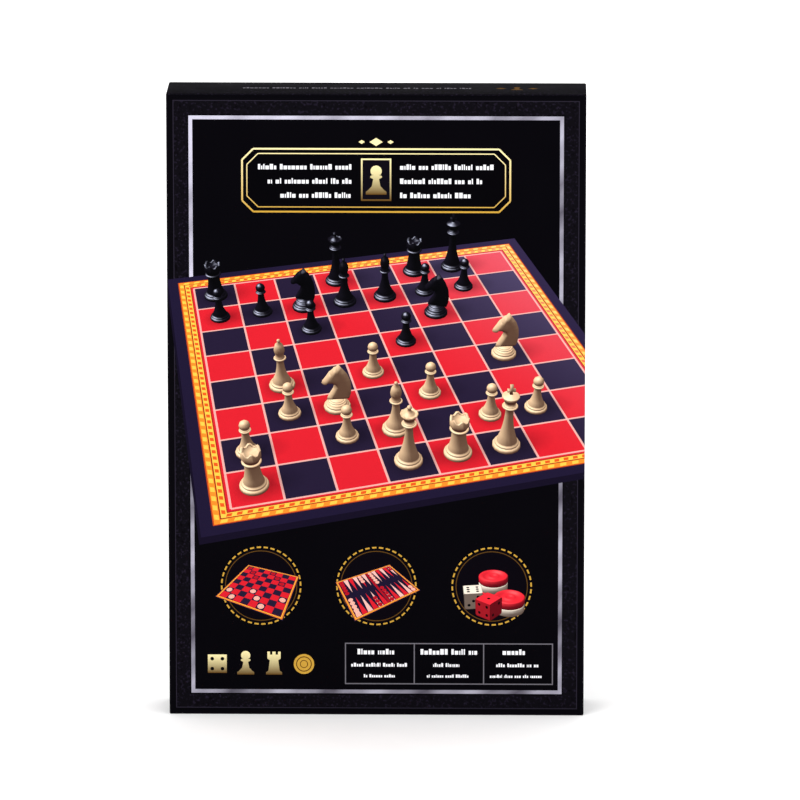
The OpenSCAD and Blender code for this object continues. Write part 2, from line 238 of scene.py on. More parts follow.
def floor_material():
    """A pale floor. Far from the object it glows, so that it runs into the white studio."""
    shader = Shader("pale_floor", Roughness=0.9, Specular_IOR_Level=0.1)
    tone = shader.mix(shader.noise(40), rgb(0xF6F6F6), rgb(0xFBFBFB))
    far = shader.add("VectorMath", {0: shader.place()}, operation="LENGTH").outputs["Value"]
    glow = shader.ramp(far, *FLOOR_GLOW)
    shader.put(shader.surface, {"Base Color": tone, "Emission Color": tone, "Emission Strength": glow})
    return shader.material


def ink_material(name, speckle=False):
    """Varnished print: its colours are in the mesh, under a faint paper grain."""
    shader = Shader(name, Specular_IOR_Level=0.02)
    ink = shader.ink()
    grain = shader.noise(0.35, 4)
    cloud = shader.noise(30)
    if speckle:
        fleck = shader.ramp(shader.noise(1.7, 3), 0.52, 0.72)
        ink = shader.mix(fleck, ink, rgb(0x1E1927))
        fleck = shader.ramp(shader.noise(2.4, 3, (1, 1.3, 0.8)), 0.58, 0.7)
        ink = shader.mix(fleck, ink, rgb(0x050307))
    ink = shader.mix(shader.ramp(grain, 0.3, 0.7, 0, 0.06), ink, rgb(0x000000))
    shader.put(shader.surface, {"Base Color": ink, "Roughness": shader.ramp(cloud, 0.3, 0.7, 0.34, 0.44)})
    shader.bump(grain, 0.012, 0.5)
    return shader.material


# Meshes
def turn_outwards(bm):
    bmesh.ops.recalc_face_normals(bm, faces=bm.faces)


def add_object(name, bm, materials, smooth_angle=None):
    """Turns a bmesh into an object, sharing no data with others."""
    mesh = bpy.data.meshes.new(name)
    bm.to_mesh(mesh)
    bm.free()
    for material in materials:
        mesh.materials.append(material)
    piece = put_in_scene(name, mesh)
    if smooth_angle is not None:
        mesh.shade_smooth()
        mesh.set_sharp_from_angle(angle=math.radians(smooth_angle))
    return piece


# Drawings
def affine(points, colours):
    """The colour that changes evenly over a shape, from the colours at its corners."""
    table = np.array([(1.0, p[0], p[1]) for p in points])
    fit = np.linalg.lstsq(table, np.array([tuple(c) for c in colours]), rcond=None)[0]

    def colour(p):
        return Vector(np.clip(fit[0] + fit[1] * p[0] + fit[2] * p[1], 0, 1))

    return colour


def holds(rim, x, y):
    """True where a closed outline goes round a point."""
    inside = False
    x0, y0 = rim[-1]
    for x1, y1 in rim:
        if (y0 > y) != (y1 > y) and x < x0 + (x1 - x0) * (y - y0) / (y1 - y0):
            inside = not inside
        x0, y0 = x1, y1
    return inside


def centroid(points, corner_ids):
    """The middle of a triangle."""
    return sum((points[i] for i in corner_ids), Vector((0, 0))) / 3


def ink_layer(bm):
    """The layer of a bmesh that holds its print colours."""
    layers = bm.loops.layers.float_color
    return layers.get("ink") or layers.new("ink")


class Print:
    """A flat drawing. Each shape covers those before it, as ink does."""

    def __init__(self, outline, ground, finish=0):
        self.shapes = []
        self.creases = []
        self.fill(outline, ground, finish=finish)

    def fill(self, points, colour, cover=1.0, finish=0):
        """Adds a shape. Its colour and its cover may be functions of the point."""
        points = [Vector(p) for p in points]
        turns = sum(a.cross(b) for a, b in zip(points, points[1:] + points[:1]))
        if turns < 0:
            points.reverse()
        if abs(turns) > SMALLEST_SHAPE:
            self.shapes.append((points, colour, cover, finish))

    def rect(self, x0, y0, x1, y1, colour, **more):
        self.fill([(x0, y0), (x1, y0), (x1, y1), (x0, y1)], colour, **more)

    def line(self, a, b, width, colour):
        side = (b - a).orthogonal().normalized() * width / 2
        self.fill([a - side, b - side, b + side, a + side], colour)

    def disc(self, centre, radius, colour, sides=40):
        self.fill([polar(centre, radius, TURN * i / sides) for i in range(sides)], colour)

    def ring(self, centre, radius, width, colour, sides=60, share=1.0):
        """A ring of sides pieces. A share below 1 leaves gaps between them."""
        inner, outer = radius - width / 2, radius + width / 2
        for i in range(sides):
            a, b = (TURN * (i + k) / sides for k in (0, share))
            corners = (inner, a), (outer, a), (outer, b), (inner, b)
            self.fill([polar(centre, *corner) for corner in corners], colour)

    def frame(self, x0, y0, x1, y1, width, colour, step=12):
        """A mitred frame in short pieces, so that its colour can change along it."""
        corners = [Vector(p) for p in ((x0, y0), (x1, y0), (x1, y1), (x0, y1))]
        middle = sum(corners, Vector((0, 0))) / 4
        inner = [Vector([v + math.copysign(width, m - v) for v, m in zip(c, middle)]) for c in corners]
        for k in range(4):
            a, b, c, d = corners[k], corners[(k + 1) % 4], inner[(k + 1) % 4], inner[k]
            count = max(1, round((b - a).length / step))
            for i in range(count):
                s, t = i / count, (i + 1) / count
                self.fill([a.lerp(b, s), a.lerp(b, t), d.lerp(c, t), d.lerp(c, s)], colour)

    def ink(self, point, covers):
        """The colour at a point, through the shapes that cover it."""
        tone = Vector((0, 0, 0))
        for shape in covers:
            _, colour, cover, _ = self.shapes[shape]
            colour = colour(point) if callable(colour) else colour
            cover = cover(point) if callable(cover) else cover
            tone = colour if cover >= 1 else tone.lerp(colour, cover)
        return tone

    def finder(self):
        """A function that lists the shapes seen at a point, the lowest first."""
        rims = [[tuple(p) for p in points] for points, *_ in self.shapes]
        spans, cells = [], {}
        for shape, rim in enumerate(rims):
            xs, ys = zip(*rim)
            spans.append((min(xs), min(ys), max(xs), max(ys)))
            i0, j0 = (int(max(a, b) // CELL) for a, b in zip(spans[-1][:2], spans[0][:2]))
            i1, j1 = (int(min(a, b) // CELL) for a, b in zip(spans[-1][2:], spans[0][2:]))
            for i in range(i0, i1 + 1):
                for j in range(j0, j1 + 1):
                    cells.setdefault((i, j), []).append(shape)

        def seen(x, y):
            found = []
            if not holds(rims[0], x, y):
                return found
            for shape in reversed(cells[int(x // CELL), int(y // CELL)]):
                x0, y0, x1, y1 = spans[shape]
                if x0 < x < x1 and y0 < y < y1 and holds(rims[shape], x, y):
                    found.insert(0, shape)
                    if self.shapes[shape][2] == 1.0:
                        break
            return found

        return seen

    def paint(self, bm, place):
        """Adds the drawing's triangles to a bmesh, each corner where place puts it."""
        corners, loops, edges = [], [], []
        for points, *_ in self.shapes:
            loops.append(range(len(corners), len(corners) + len(points)))
            corners += points
        for a, b in self.creases:
            edges.append((len(corners), len(corners) + 1))
            corners += [Vector(a), Vector(b)]
        points, _, faces, _, _, _ = delaunay_2d_cdt(corners, edges, loops, 1, WELD, True)
        layer = ink_layer(bm)
        verts = [bm.verts.new(place(p)) for p in points]
        seen = self.finder()
        for corner_ids in faces:
            middle = centroid(points, corner_ids)
            covers = seen(*middle)
            if not covers:
                continue
            face = bm.faces.new([verts[i] for i in corner_ids])
            face.tag = True
            face.material_index = self.shapes[covers[0]][3]
            for loop, i in zip(face.loops, corner_ids):
                inside = points[i].lerp(middle, WELD)
                loop[layer] = (*self.ink(inside, covers), 1)
        bmesh.ops.delete(bm, geom=[v for v in verts if not v.link_faces], context="VERTS")


class Patch(Print):
    """Draws on another drawing, in coordinates of its own."""

    def __init__(self, art, place):
        self.art, self.place = art, place

    def fill(self, points, colour, cover=1.0, finish=0):
        self.art.fill([self.place(Vector(p)) for p in points], colour, cover, finish)


def colour_rest(bm, colour):
    """Gives one colour to the faces that no drawing has coloured."""
    layer = ink_layer(bm)
    for face in bm.faces:
        if not face.tag:
            for loop in face.loops:
                loop[layer] = (*colour, 1)


# Printed wraps of lid and base: radii of their folds, thickness of paper and board, and what is turned in
FOLD_R = 0.9
RIM_R = 0.7
WRAP_T = 0.3
BOARD_T = 1.5
TURN_IN = 15
FOLD_STEPS = 4
MOUTH = 2 * WRAP_T + BOARD_T
QUARTER = [math.pi / 2 * step / FOLD_STEPS for step in range(FOLD_STEPS + 1)]


class Wrap:
    """The printed paper of a box: one sheet over the panel and the four walls, folded in over the rim."""

    def __init__(self, node, facing, ground):
        self.lo, self.hi = node_box(node)
        self.node, self.facing, self.ground = node, facing, ground
        self.w, self.d, self.h = self.hi - self.lo
        self.fold_len = FOLD_R * math.pi / 2
        self.reach = self.fold_len + self.d - RIM_R - FOLD_R
        x, y0, y1, t = self.w / 2 - FOLD_R, FOLD_R, self.h - FOLD_R, self.reach
        self.art = Print([
            (-x, y0 - t), (x, y0 - t), (x, y0), (x + t, y0), (x + t, y1), (x, y1),
            (x, y1 + t), (-x, y1 + t), (-x, y1), (-x - t, y1), (-x - t, y0), (-x, y0),
        ], ground, finish=1)
        for step in range(FOLD_STEPS + 1):
            f = self.fold_len * step / FOLD_STEPS
            for s in (-1, 1):
                self.art.creases.append(((s * (x + f), y0), (s * (x + f), y1)))
            self.art.creases.append(((-x, y0 - f), (x, y0 - f)))
            self.art.creases.append(((-x, y1 + f), (x, y1 + f)))

    def wall(self, side, along, depth):
        """A point of the drawing on a wall: depth millimetres behind the panel."""
        past = self.fold_len + depth - FOLD_R
        if side in ("left", "right"):
            return Vector(((self.w / 2 - FOLD_R + past) * (1 if side == "right" else -1), along))
        return Vector((along, self.h - FOLD_R + past if side == "top" else FOLD_R - past))

    def wall_patch(self, side):
        """A wall's drawing, which reads upright or downwards, with its origin in the wall's middle."""
        if side in ("top", "bottom"):
            return Patch(self.art, lambda p: self.wall(side, p.x, self.d / 2 + p.y))
        way = 1 if side == "right" else -1
        return Patch(self.art, lambda p: self.wall(side, self.h / 2 - p.x, self.d / 2 + way * p.y))

    def clear_walls(self, colour, finish):
        """Cuts what is drawn on the panel at its folds."""
        cut = FOLD_R * 0.6
        for side, length in (("left", self.h), ("right", self.h), ("top", self.w), ("bottom", self.w)):
            a = length / 2 - FOLD_R
            patch = self.wall_patch(side)
            low, high = cut - self.d / 2, self.d / 2
            if side == "left":
                low, high = -high, -low
            patch.rect(-a, low, a, high, colour, finish=finish)

    def world(self, across, height, depth):
        """A point given as seen from in front of the panel, in metres."""
        y = self.lo.y + depth if self.facing < 0 else self.hi.y - depth
        return Vector((-self.facing * across, y, self.lo.z + height)) * MM

    def bend(self, past):
        """How far out and back a point lies that is past the start of a fold."""
        if past <= 0:
            return past, 0
        turn = min(past / FOLD_R, math.pi / 2)
        return FOLD_R * math.sin(turn), FOLD_R * (1 - math.cos(turn)) + max(past - self.fold_len, 0)

    def folded(self, p):
        """Where a point of the sheet lies once it is folded."""
        across, depth = self.bend(abs(p.x) - self.w / 2 + FOLD_R)
        rise, depth_v = self.bend(abs(p.y - self.h / 2) - self.h / 2 + FOLD_R)
        x = math.copysign(across + (self.w / 2 - FOLD_R), p.x)
        z = self.h / 2 + math.copysign(rise + (self.h / 2 - FOLD_R), p.y - self.h / 2)
        return self.world(x, z, max(depth, depth_v))

    def ring(self, inset, depth):
        """Points round the box at one depth, with round corners where the inset is small."""
        r = max(FOLD_R - inset, 0)
        return self.four_arcs(inset + r, r, depth)

    def four_arcs(self, inset, r, depth):
        """Points on quarter circles about the four corners of an inset rectangle."""
        x, z = self.w / 2 - inset, self.h / 2 - inset
        points = []
        for k, (sx, sz) in enumerate(((1, 1), (-1, 1), (-1, -1), (1, -1))):
            centre = sx * x, self.h / 2 + sz * z
            points += [self.world(*polar(centre, r, math.pi / 2 * k + turn), depth) for turn in QUARTER]
        return points

    def sweep(self, bm, profile):
        """Joins rings along a profile of (inset, depth) with faces, and gives the last ring."""
        rings = [[bm.verts.new(p) for p in self.ring(*point)] for point in profile]
        for a, b in zip(rings, rings[1:]):
            for i in range(len(a)):
                j = (i + 1) % len(a)
                bm.faces.new((a[i], a[j], b[j], b[i]))
        return rings[-1]

    def make(self, name, body, materials):
        bm = bmesh.new()
        self.art.paint(bm, self.folded)
        self.corners(bm)
        rim = [(RIM_R * (1 - math.cos(t)), RIM_R * (1 - math.sin(t))) for t in QUARTER]
        profile = [(inset, self.d - back) for inset, back in rim]
        profile += [(MOUTH - back, self.d - inset) for inset, back in rim]
        profile += [
            (MOUTH, self.d - TURN_IN), (MOUTH - WRAP_T, self.d - TURN_IN),
            (MOUTH - WRAP_T, self.d - WRAP_T), (WRAP_T, self.d - WRAP_T), (WRAP_T, WRAP_T),
        ]
        bm.faces.new(self.sweep(bm, profile))
        colour_rest(bm, self.ground)
        bmesh.ops.remove_doubles(bm, verts=bm.verts, dist=1e-6)
        turn_outwards(bm)
        piece = add_object(name, bm, materials, smooth_angle=30)
        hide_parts(self.node)
        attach(piece, body)
        return piece

    def corners(self, bm):
        """The four quarter-round edges between the walls, and the round corners of the panel."""
        past = [self.fold_len * s / FOLD_STEPS for s in range(FOLD_STEPS + 1)] + [self.reach]
        rows = []
        for out, depth in map(self.bend, past):
            rows.append([bm.verts.new(p) for p in self.four_arcs(FOLD_R, out, depth)])
        for a, b in zip(rows, rows[1:]):
            for i in range(len(a)):
                if i % len(QUARTER) < FOLD_STEPS:
                    bm.faces.new((a[i], a[i + 1], b[i + 1], b[i])).material_index = 1


# Print colours
IVORY = rgb(0xDDCCA6)
# Near-black: painted shade along the panel's rounded edge, and also the printed line outside the silver frame
INK = rgb(0x030206)
RIM = rgb(0x040307)
BAND = rgb(0x0A080E)
HAIRLINE = rgb(0x27232F)
SILVER = rgb(0xC9C6D8)
PEWTER = rgb(0x57535F)
GOLD = rgb(0xC89B3C)
PALE_GOLD = rgb(0xF7E9AE)
OLD_GOLD = rgb(0x5E4017)
WHITE = rgb(0xF6F5FA)
GREY = rgb(0x6B6870)
RED = rgb(0xD61F2C)
DEEP_RED = rgb(0xA51020)
NAVY = rgb(0x221932)
CREAM = rgb(0xF3B9B0)
ORANGE = rgb(0xFF8A2A)
YELLOW = rgb(0xFFC64A)


def between(a, b, start, end):
    """A colour that goes from a to b between two points."""
    start, end = Vector(start), Vector(end)
    way = end - start

    def colour(p):
        return a.lerp(b, min(1, max(0, (Vector(p[:2]) - start).dot(way) / way.length_squared)))

    return colour


# Turned and carved men, standing on z = 0, of diameter d and height h. Fine ones have more steps and sides.
STEP_SHARE = 0.30
STEM_SHARE = 0.36
ROUND_SIDES = (14, 48)
MERLONS = 6
CROWN_POINTS = 4.5


def arc(centre_r, centre_z, radius, start, stop, steps):
    """Points of a profile along an arc, with its angles in degrees."""
    angles = [math.radians(start + (stop - start) * i / steps) for i in range(steps + 1)]
    return [polar((centre_r, centre_z), radius, a) for a in angles]


def stem(d, neck_z, neck_r, collar_r, fine):
    """Profile from the foot to the top of the collar."""
    steps = 6 if fine else 2
    rise = 14 if fine else 5
    bead = collar_r - 0.55
    return [
        (0, 0), (0.47 * d, 0), (0.5 * d, 0.03 * d), *arc(0.44 * d, 0.10 * d, 0.06 * d, 0, 80, steps),
        (0.425 * d, 0.17 * d), *arc(0.40 * d, 0.215 * d, 0.035 * d, -60, 80, steps),
        (STEM_SHARE * d, 0.27 * d),
        *((
            neck_r + (STEM_SHARE * d - neck_r) * (1 - i / rise) ** 2.4,
            STEP_SHARE * d + (neck_z - STEP_SHARE * d) * i / rise,
        ) for i in range(rise + 1)),
        *arc(bead, neck_z + 0.65, 0.55, -80, 80, steps), (0.8 * collar_r, neck_z + 1.25),
        *arc(0.8 * collar_r - 0.35, neck_z + 1.6, 0.35, -70, 80, steps),
    ]


def lathe(bm, profile, sides, lift=None):
    """Turns a profile of (radius, height) round the Z axis. lift raises points by profile index and angle."""
    rings = []
    for k, (r, z) in enumerate(profile):
        if r < 1e-6:
            rings.append([bm.verts.new((0, 0, z))] * sides)
            continue
        ring = []
        for i in range(sides):
            a = TURN * i / sides
            ring.append(bm.verts.new((r * math.cos(a), r * math.sin(a), z + (lift(k, a) if lift else 0))))
        rings.append(ring)
    for a, b in zip(rings, rings[1:]):
        for i in range(sides):
            j = (i + 1) % sides
            corners = list(dict.fromkeys((a[i], a[j], b[j], b[i])))
            if len(corners) > 2:
                bm.faces.new(corners)


def extrude(bm, outline, y0, y1):
    """A plate with an outline in X and Z."""
    front = [bm.verts.new((x, y0, z)) for x, z in outline]
    back = [bm.verts.new((x, y1, z)) for x, z in outline]
    bm.faces.new(front)
    bm.faces.new(back[::-1])
    for i in range(len(front)):
        j = (i + 1) % len(front)
        bm.faces.new((front[j], front[i], back[i], back[j]))


def pawn(bm, d, h, fine):
    head = 0.235 * d
    neck = h - 2 * head - 0.8
    profile = stem(d, neck, 0.15 * d, 0.26 * d, fine) + arc(0, h - head, head, -50, 90, 14 if fine else 5)
    lathe(bm, profile, ROUND_SIDES[fine])


def rook(bm, d, h, fine):
    top, tower = 0.34 * d, 0.68 * h
    profile = stem(d, tower, 0.25 * d, top, fine)
    wall = len(profile) + 4
    profile += [
        (0.27 * d, tower + 2), (0.28 * d, tower + 3.4), (top - 0.2, tower + 4.4), (top, tower + 5),
        (top, h - 0.2), (top - 0.2, h), (top - 1.9, h), (top - 2, h - 0.2), (top - 2, h - 3), (0, h - 3),
    ]

    def notch(k, angle):
        share = angle / TURN * MERLONS % 1
        return -2.3 if wall <= k <= wall + 3 and share < 0.28 else 0

    lathe(bm, profile, 96 if fine else 24, notch)


def bishop(bm, d, h, fine):
    neck, ball = 0.60 * h, 1.6
    head = h - neck - 1 - 1.5 * ball
    steps = 14 if fine else 6
    profile = stem(d, neck, 0.13 * d, 0.24 * d, fine)
    for i in range(1, steps):
        u = i / steps * 0.93
        r = 0.22 * d * math.sin(math.radians(25 + 140 * u)) * (1 - 0.18 * u)
        profile.append((r, neck + 1.9 + head * u))
    profile += arc(0, h - ball, ball, -60, 90, 8 if fine else 3)
    lathe(bm, profile, ROUND_SIDES[fine])


def crown(z, height, r0, r1, steps):
    """The flared cup of a king or a queen."""
    return [(r0 + (r1 - r0) * (i / steps) ** 1.7, z + height * i / steps) for i in range(steps + 1)]


def queen(bm, d, h, fine):
    neck, ball, rim = 0.68 * h, 2, 0.31 * d
    cup = 0.17 * h
    profile = stem(d, neck, 0.13 * d, 0.27 * d, fine)
    profile += crown(neck + 2, cup - 0.8, 0.17 * d, rim, 8 if fine else 3)
    wall = len(profile) - 1
    profile += [(rim - 1.1, neck + 1.2 + cup), (0.22 * d, neck + 0.4 + cup)]
    profile += arc(0, neck + cup - 1.2, 0.2 * d, 30, 66, 5 if fine else 2)
    profile += arc(0, h - ball, ball, -50, 90, 8 if fine else 3)

    def points(k, angle):
        return 0.9 * abs(math.sin(angle * CROWN_POINTS)) - 0.7 if k in (wall, wall + 1) else 0

    lathe(bm, profile, 72 if fine else 18, points)


def king(bm, d, h, fine):
    neck, cross = 0.66 * h, 0.14 * h
    cup = 0.15 * h
    profile = stem(d, neck, 0.14 * d, 0.28 * d, fine)
    profile += crown(neck + 2, cup - 0.8, 0.18 * d, 0.31 * d, 8 if fine else 3)
    profile += [(0.29 * d, neck + 1.4 + cup), (0.26 * d, neck + 1.9 + cup), (0.14 * d, h - cross - 0.8)]
    profile += [(1.5, h - cross + 0.2), (0, h - cross + 0.4)]
    lathe(bm, profile, ROUND_SIDES[fine])
    arm, slim, flare = 0.36 * cross, 0.75, 1.25
    bar = h - 0.58 * cross
    extrude(bm, [
        (-flare, h - cross), (flare, h - cross), (slim, bar - slim), (arm, bar - flare), (arm, bar + flare),
        (slim, bar + slim), (flare, h), (-flare, h), (-slim, bar + slim), (-arm, bar + flare),
        (-arm, bar - flare), (-slim, bar - slim),
    ], -1.1, 1.1)


def smooth_loop(points, steps):
    """A closed curve through points, with steps pieces between two of them."""
    curve = []
    n = len(points)
    for i in range(n):
        p0, p1, p2, p3 = (Vector(points[(i + k - 1) % n]) for k in range(4))
        for s in range(steps):
            t = s / steps
            bow = (2 * p0 - 5 * p1 + 4 * p2 - p3) * t * t
            twist = (3 * p1 - p0 - 3 * p2 + p3) * t ** 3
            curve.append(0.5 * (2 * p1 + (p2 - p0) * t + bow + twist))
    return curve


# Side of a horse's head and neck, nose to -X, in shares of its height
HORSE = [
    (0.27, 0.0), (0.315, 0.14), (0.33, 0.32), (0.31, 0.52), (0.24, 0.71), (0.13, 0.87), (0.05, 0.985),
    (0.01, 0.93), (-0.06, 0.875), (-0.15, 0.79), (-0.235, 0.665), (-0.305, 0.565), (-0.33, 0.50),
    (-0.305, 0.45), (-0.255, 0.43), (-0.18, 0.465), (-0.10, 0.475), (-0.055, 0.42), (-0.08, 0.33),
    (-0.15, 0.21), (-0.205, 0.10), (-0.225, 0.0),
]


BULGE = 3.2


def horse_relief(x, z, edge, half, size):
    """Half the thickness of the head at a point, edge millimetres from its outline."""
    if edge <= 0:
        return 0.0
    height = half * math.sqrt(max(0, 1 - (1 - min(edge / BULGE, 1)) ** 2))
    u, v = x / size, z / size

    def mound(cx, cz, r):
        return max(0, 1 - ((u - cx) ** 2 + (v - cz) ** 2) / r ** 2)

    height += 0.7 * mound(-0.07, 0.60, 0.15) + 0.5 * mound(-0.10, 0.745, 0.035)
    height -= 0.6 * mound(-0.285, 0.535, 0.022)
    mouth = abs((v - 0.488) - 0.18 * (u + 0.32))
    if u < -0.2:
        height -= 0.55 * max(0, 1 - mouth / 0.012)
    mane = u - (0.06 + 0.10 * math.sin(math.pi * min(v, 1)))
    if mane > 0:
        height += min(mane * 16, 1) * 0.45 * math.sin(58 * v + 30 * u) * min(edge / 1.5, 1)
    return max(height, 0.05)


def knight(bm, d, h, fine):
    stem_z = 0.30 * d
    lathe(bm, [*stem(d, stem_z + 1.2, 0.27 * d, 0.34 * d, fine), (0, stem_z + 2.6)], ROUND_SIDES[fine])
    size, low = h - stem_z - 2.4, stem_z + 2.4
    outline = smooth_loop([(x * size, z * size) for x, z in HORSE], 4 if fine else 1)
    pitch = 0.55 if fine else 1.9
    corners = list(outline)
    a = np.array([tuple(p) for p in outline])
    b = np.roll(a, -1, axis=0)

    def edge_distance(p):
        way = b - a
        t = np.clip(((p - a) * way).sum(1) / (way * way).sum(1), 0, 1)
        return float(np.min(np.hypot(*(a + way * t[:, None] - p).T)))

    nx, nz = int(0.7 * size / pitch), int(size / pitch)
    for i in range(nx):
        for j in range(nz):
            p = Vector(((i + 0.5 * (j % 2)) * pitch - 0.35 * size, (j + 0.5) * pitch))
            if edge_distance(np.array(p)) > 0.5 * pitch:
                corners.append(p)
    points, _, faces, _, _, _ = delaunay_2d_cdt(corners, [], [range(len(outline))], 1, WELD, True)
    rim = [tuple(p) for p in outline]
    faces = [f for f in faces if holds(rim, *centroid(points, f))]
    edges = [edge_distance(np.array(p)) for p in points]
    for side in (-1, 1):
        verts = []
        for p, edge in zip(points, edges):
            half = horse_relief(p.x, p.y, edge if edge > 0.02 else 0, 0.18 * d, size)
            verts.append(bm.verts.new((p.x, side * half, p.y + low)))
        for face in faces:
            bm.faces.new([verts[i] for i in face])
        bmesh.ops.delete(bm, geom=[v for v in verts if not v.link_faces], context="VERTS")
    bmesh.ops.remove_doubles(bm, verts=bm.verts, dist=1e-4)


def solid(shape, *sizes):
    """A bmesh of one shape, with its faces turned outwards."""
    bm = bmesh.new()
    shape(bm, *sizes)
    turn_outwards(bm)
    bmesh.ops.triangulate(bm, faces=bm.faces)
    bm.normal_update()
    return bm


# Pictures of solids on a print
class Eye:
    """Looks at the origin of a set scene, and gives where its points fall on the print."""

    def __init__(self, yaw, pitch, distance, scale, centre):
        self.back, self.right, self.up = view(yaw, pitch)
        self.distance, self.scale, self.centre = distance, scale, Vector(centre)
        self.lamp = (self.back * 0.45 + self.up * 0.75 - self.right * 0.5).normalized()
        self.half_way = (self.lamp + self.back).normalized()

    def near(self, p):
        return p.dot(self.back)

    def __call__(self, p):
        p = Vector(p)
        size = self.scale * self.distance / (self.distance - self.near(p))
        return self.centre + Vector((p.dot(self.right), p.dot(self.up))) * size

    def on_floor(self, p):
        """The point of the floor that is seen at a point of the print."""
        across, rise = (Vector(p[:2]) - self.centre) / self.scale
        start = self.back * self.distance
        sight = self.right * across + self.up * rise - start
        return start - sight * (start.z / sight.z)

    def lit(self, normal, paint):
        dark, light, glint, sharpness = paint
        level = 0.06 + 0.14 * normal.z + 1.05 * max(0, normal.dot(self.lamp)) ** 1.3
        shine = max(0, normal.dot(self.half_way)) ** sharpness
        tone = dark.lerp(light, min(1, max(0, level))) + glint * shine
        return Vector([min(c, 1) for c in tone])


def turner(degrees):
    """A function that turns vectors about the Z axis."""
    c, s = math.cos(math.radians(degrees)), math.sin(math.radians(degrees))
    return lambda v: Vector((c * v.x - s * v.y, s * v.x + c * v.y, v.z))


def draw_solid(art, bm, eye, paint, place=(0, 0, 0), turn=0):
    """Draws a lit solid, its far faces first."""
    place, turned = Vector(place), turner(turn)
    shown = []
    for face in bm.faces:
        middle = place + turned(face.calc_center_median())
        if turned(face.normal).dot(eye.back * eye.distance - middle) > 0:
            shown.append((eye.near(middle), face))
    for _, face in sorted(shown, key=lambda pair: pair[0]):
        points = [eye(place + turned(v.co)) for v in face.verts]
        art.fill(points, affine(points, [eye.lit(turned(v.normal), paint) for v in face.verts]))


SHADOW_REACH = 1.75
SHADOW_STRETCH = 1.1


def draw_shadow(art, eye, place, radius):
    """A soft shadow on the board, longer to one side of what throws it."""
    place = Vector(place)
    away = Vector([*(eye.right[k] * 0.9 - eye.back[k] * 0.4 for k in (0, 1)), 0]).normalized()

    def cover(p):
        q = eye.on_floor(p) - place
        along = max(0, q.dot(away))
        q -= away * along * SHADOW_STRETCH / (1 + SHADOW_STRETCH)
        return 0.75 * max(0, 1 - q.length / (radius * SHADOW_REACH)) ** 1.2

    for grow, share in ((SHADOW_REACH, cover), (1.35, 0.0), (1.0, 0.0), (0.6, 0.0)):
        points = []
        for i in range(20):
            p = Vector((math.cos(TURN * i / 20), math.sin(TURN * i / 20), 0)) * radius * grow
            p += away * max(0, p.dot(away)) * SHADOW_STRETCH
            points.append(eye(place + p))
        art.fill(points, rgb(0x070309), cover=share)


# Paints of pictured solids: in the dark, in the light, the added glint, and how sharp it is
IVORY_PAINT = (rgb(0x3A1C16), rgb(0xF6CFA4), rgb(0xA89A88), 16)
BLACK_PAINT = (rgb(0x010102), rgb(0x14111C), rgb(0xD4D8F0), 34)
RED_PAINT = (rgb(0x4A0610), rgb(0xF32A38), rgb(0x8A6A6A), 24)
BONE_PAINT = (rgb(0x55443C), rgb(0xF7EAD8), rgb(0x504C48), 24)

# Each man's shape, with its diameter and height in the pictures
SHAPES = {
    "pawn": (pawn, 19, 33), "rook": (rook, 22.5, 38), "knight": (knight, 22.5, 46),
    "bishop": (bishop, 22.5, 50), "queen": (queen, 22.5, 57), "king": (king, 22.5, 62),
}

# A game in progress, its far row first. Ivory men have capitals.
BOARD_SQUARE = 40
GAME = "r..q.rk. ppnbbpp. ..p..n.. ....p... .B.P..N. .PN.P... P.PB.PP. R..QRK.."
LETTERS = {"p": "pawn", "r": "rook", "n": "knight", "b": "bishop", "q": "queen", "k": "king"}
IVORY_TURN, BLACK_TURN = -8, -30
SHADOW_SHARE = 0.52


def board_colours(eye, ink, pale, reach):
    """Print colours that pale towards the far right, as under a lamp."""
    def colour(p):
        share = min(1, max(0, (p[0] * 0.55 + (p[1] - eye.centre.y) * 0.9) / reach))
        return ink.lerp(pale, share * share)

    return colour


def draw_chequers(art, x, y, square, columns, rows, inks):
    """Squares in two inks, from their lower left corner on. None leaves squares out."""
    for i in range(columns):
        for j in range(rows):
            ink = inks[(i + j) % 2]
            if ink is not None:
                art.rect(x + i * square, y + j * square, x + (i + 1) * square, y + (j + 1) * square, ink)


def draw_board(art, eye):
    """A chequered board with a dark margin and a double border, seen from one corner."""
    half = 4 * BOARD_SQUARE
    under, board = (Patch(art, lambda p, z=z: eye((*p, z))) for z in (-5, 0))
    under.rect(-half - 26, -half - 26, half + 26, half + 26, rgb(0x120C20))
    for grow, ink, *pale in (
        (24, rgb(0x1C1530), rgb(0x5A4A78)), (14.5, rgb(0xB8451A)), (13.5, ORANGE, rgb(0xFFD9A0)),
        (9, rgb(0x8F2A18)), (8, YELLOW, rgb(0xFFE9B8)), (3.5, rgb(0x9F2A20)), (2.5, RED, rgb(0xF4A0B4)),
    ):
        reach = half + grow
        board.rect(-reach, -reach, reach, reach, board_colours(eye, ink, *pale, 260) if pale else ink)
    for middle, length, width, ink in ((half + 11.2, 6.5, 3.2, YELLOW), (half + 5.8, 5, 3, rgb(0xE2571E))):
        count = round(2 * middle / (1.55 * length))
        for i in range(count):
            s = middle * (2 * (i + 0.5) / count - 1)
            for turn in range(4):
                corners = []
                for u, v in ((-0.5, -0.5), (0.3, -0.5), (0.5, 0.5), (-0.3, 0.5)):
                    x, y = s + u * length, -middle + v * width
                    for _ in range(turn):
                        x, y = -y, x
                    corners.append((x, y))
                board.fill(corners, board_colours(eye, ink, rgb(0xFFEBC8), 220))
    red = board_colours(eye, RED, rgb(0xE9A9C0), 240)
    dark = board_colours(eye, NAVY, rgb(0x8B7CB0), 220)
    draw_chequers(board, -half, -half, BOARD_SQUARE, 8, 8, (red, dark))
    for i in range(9):
        c = (i - 4) * BOARD_SQUARE
        board.rect(c - 0.9, -half, c + 0.9, half, CREAM, cover=0.8)
        board.rect(-half, c - 0.9, half, c + 0.9, CREAM, cover=0.8)


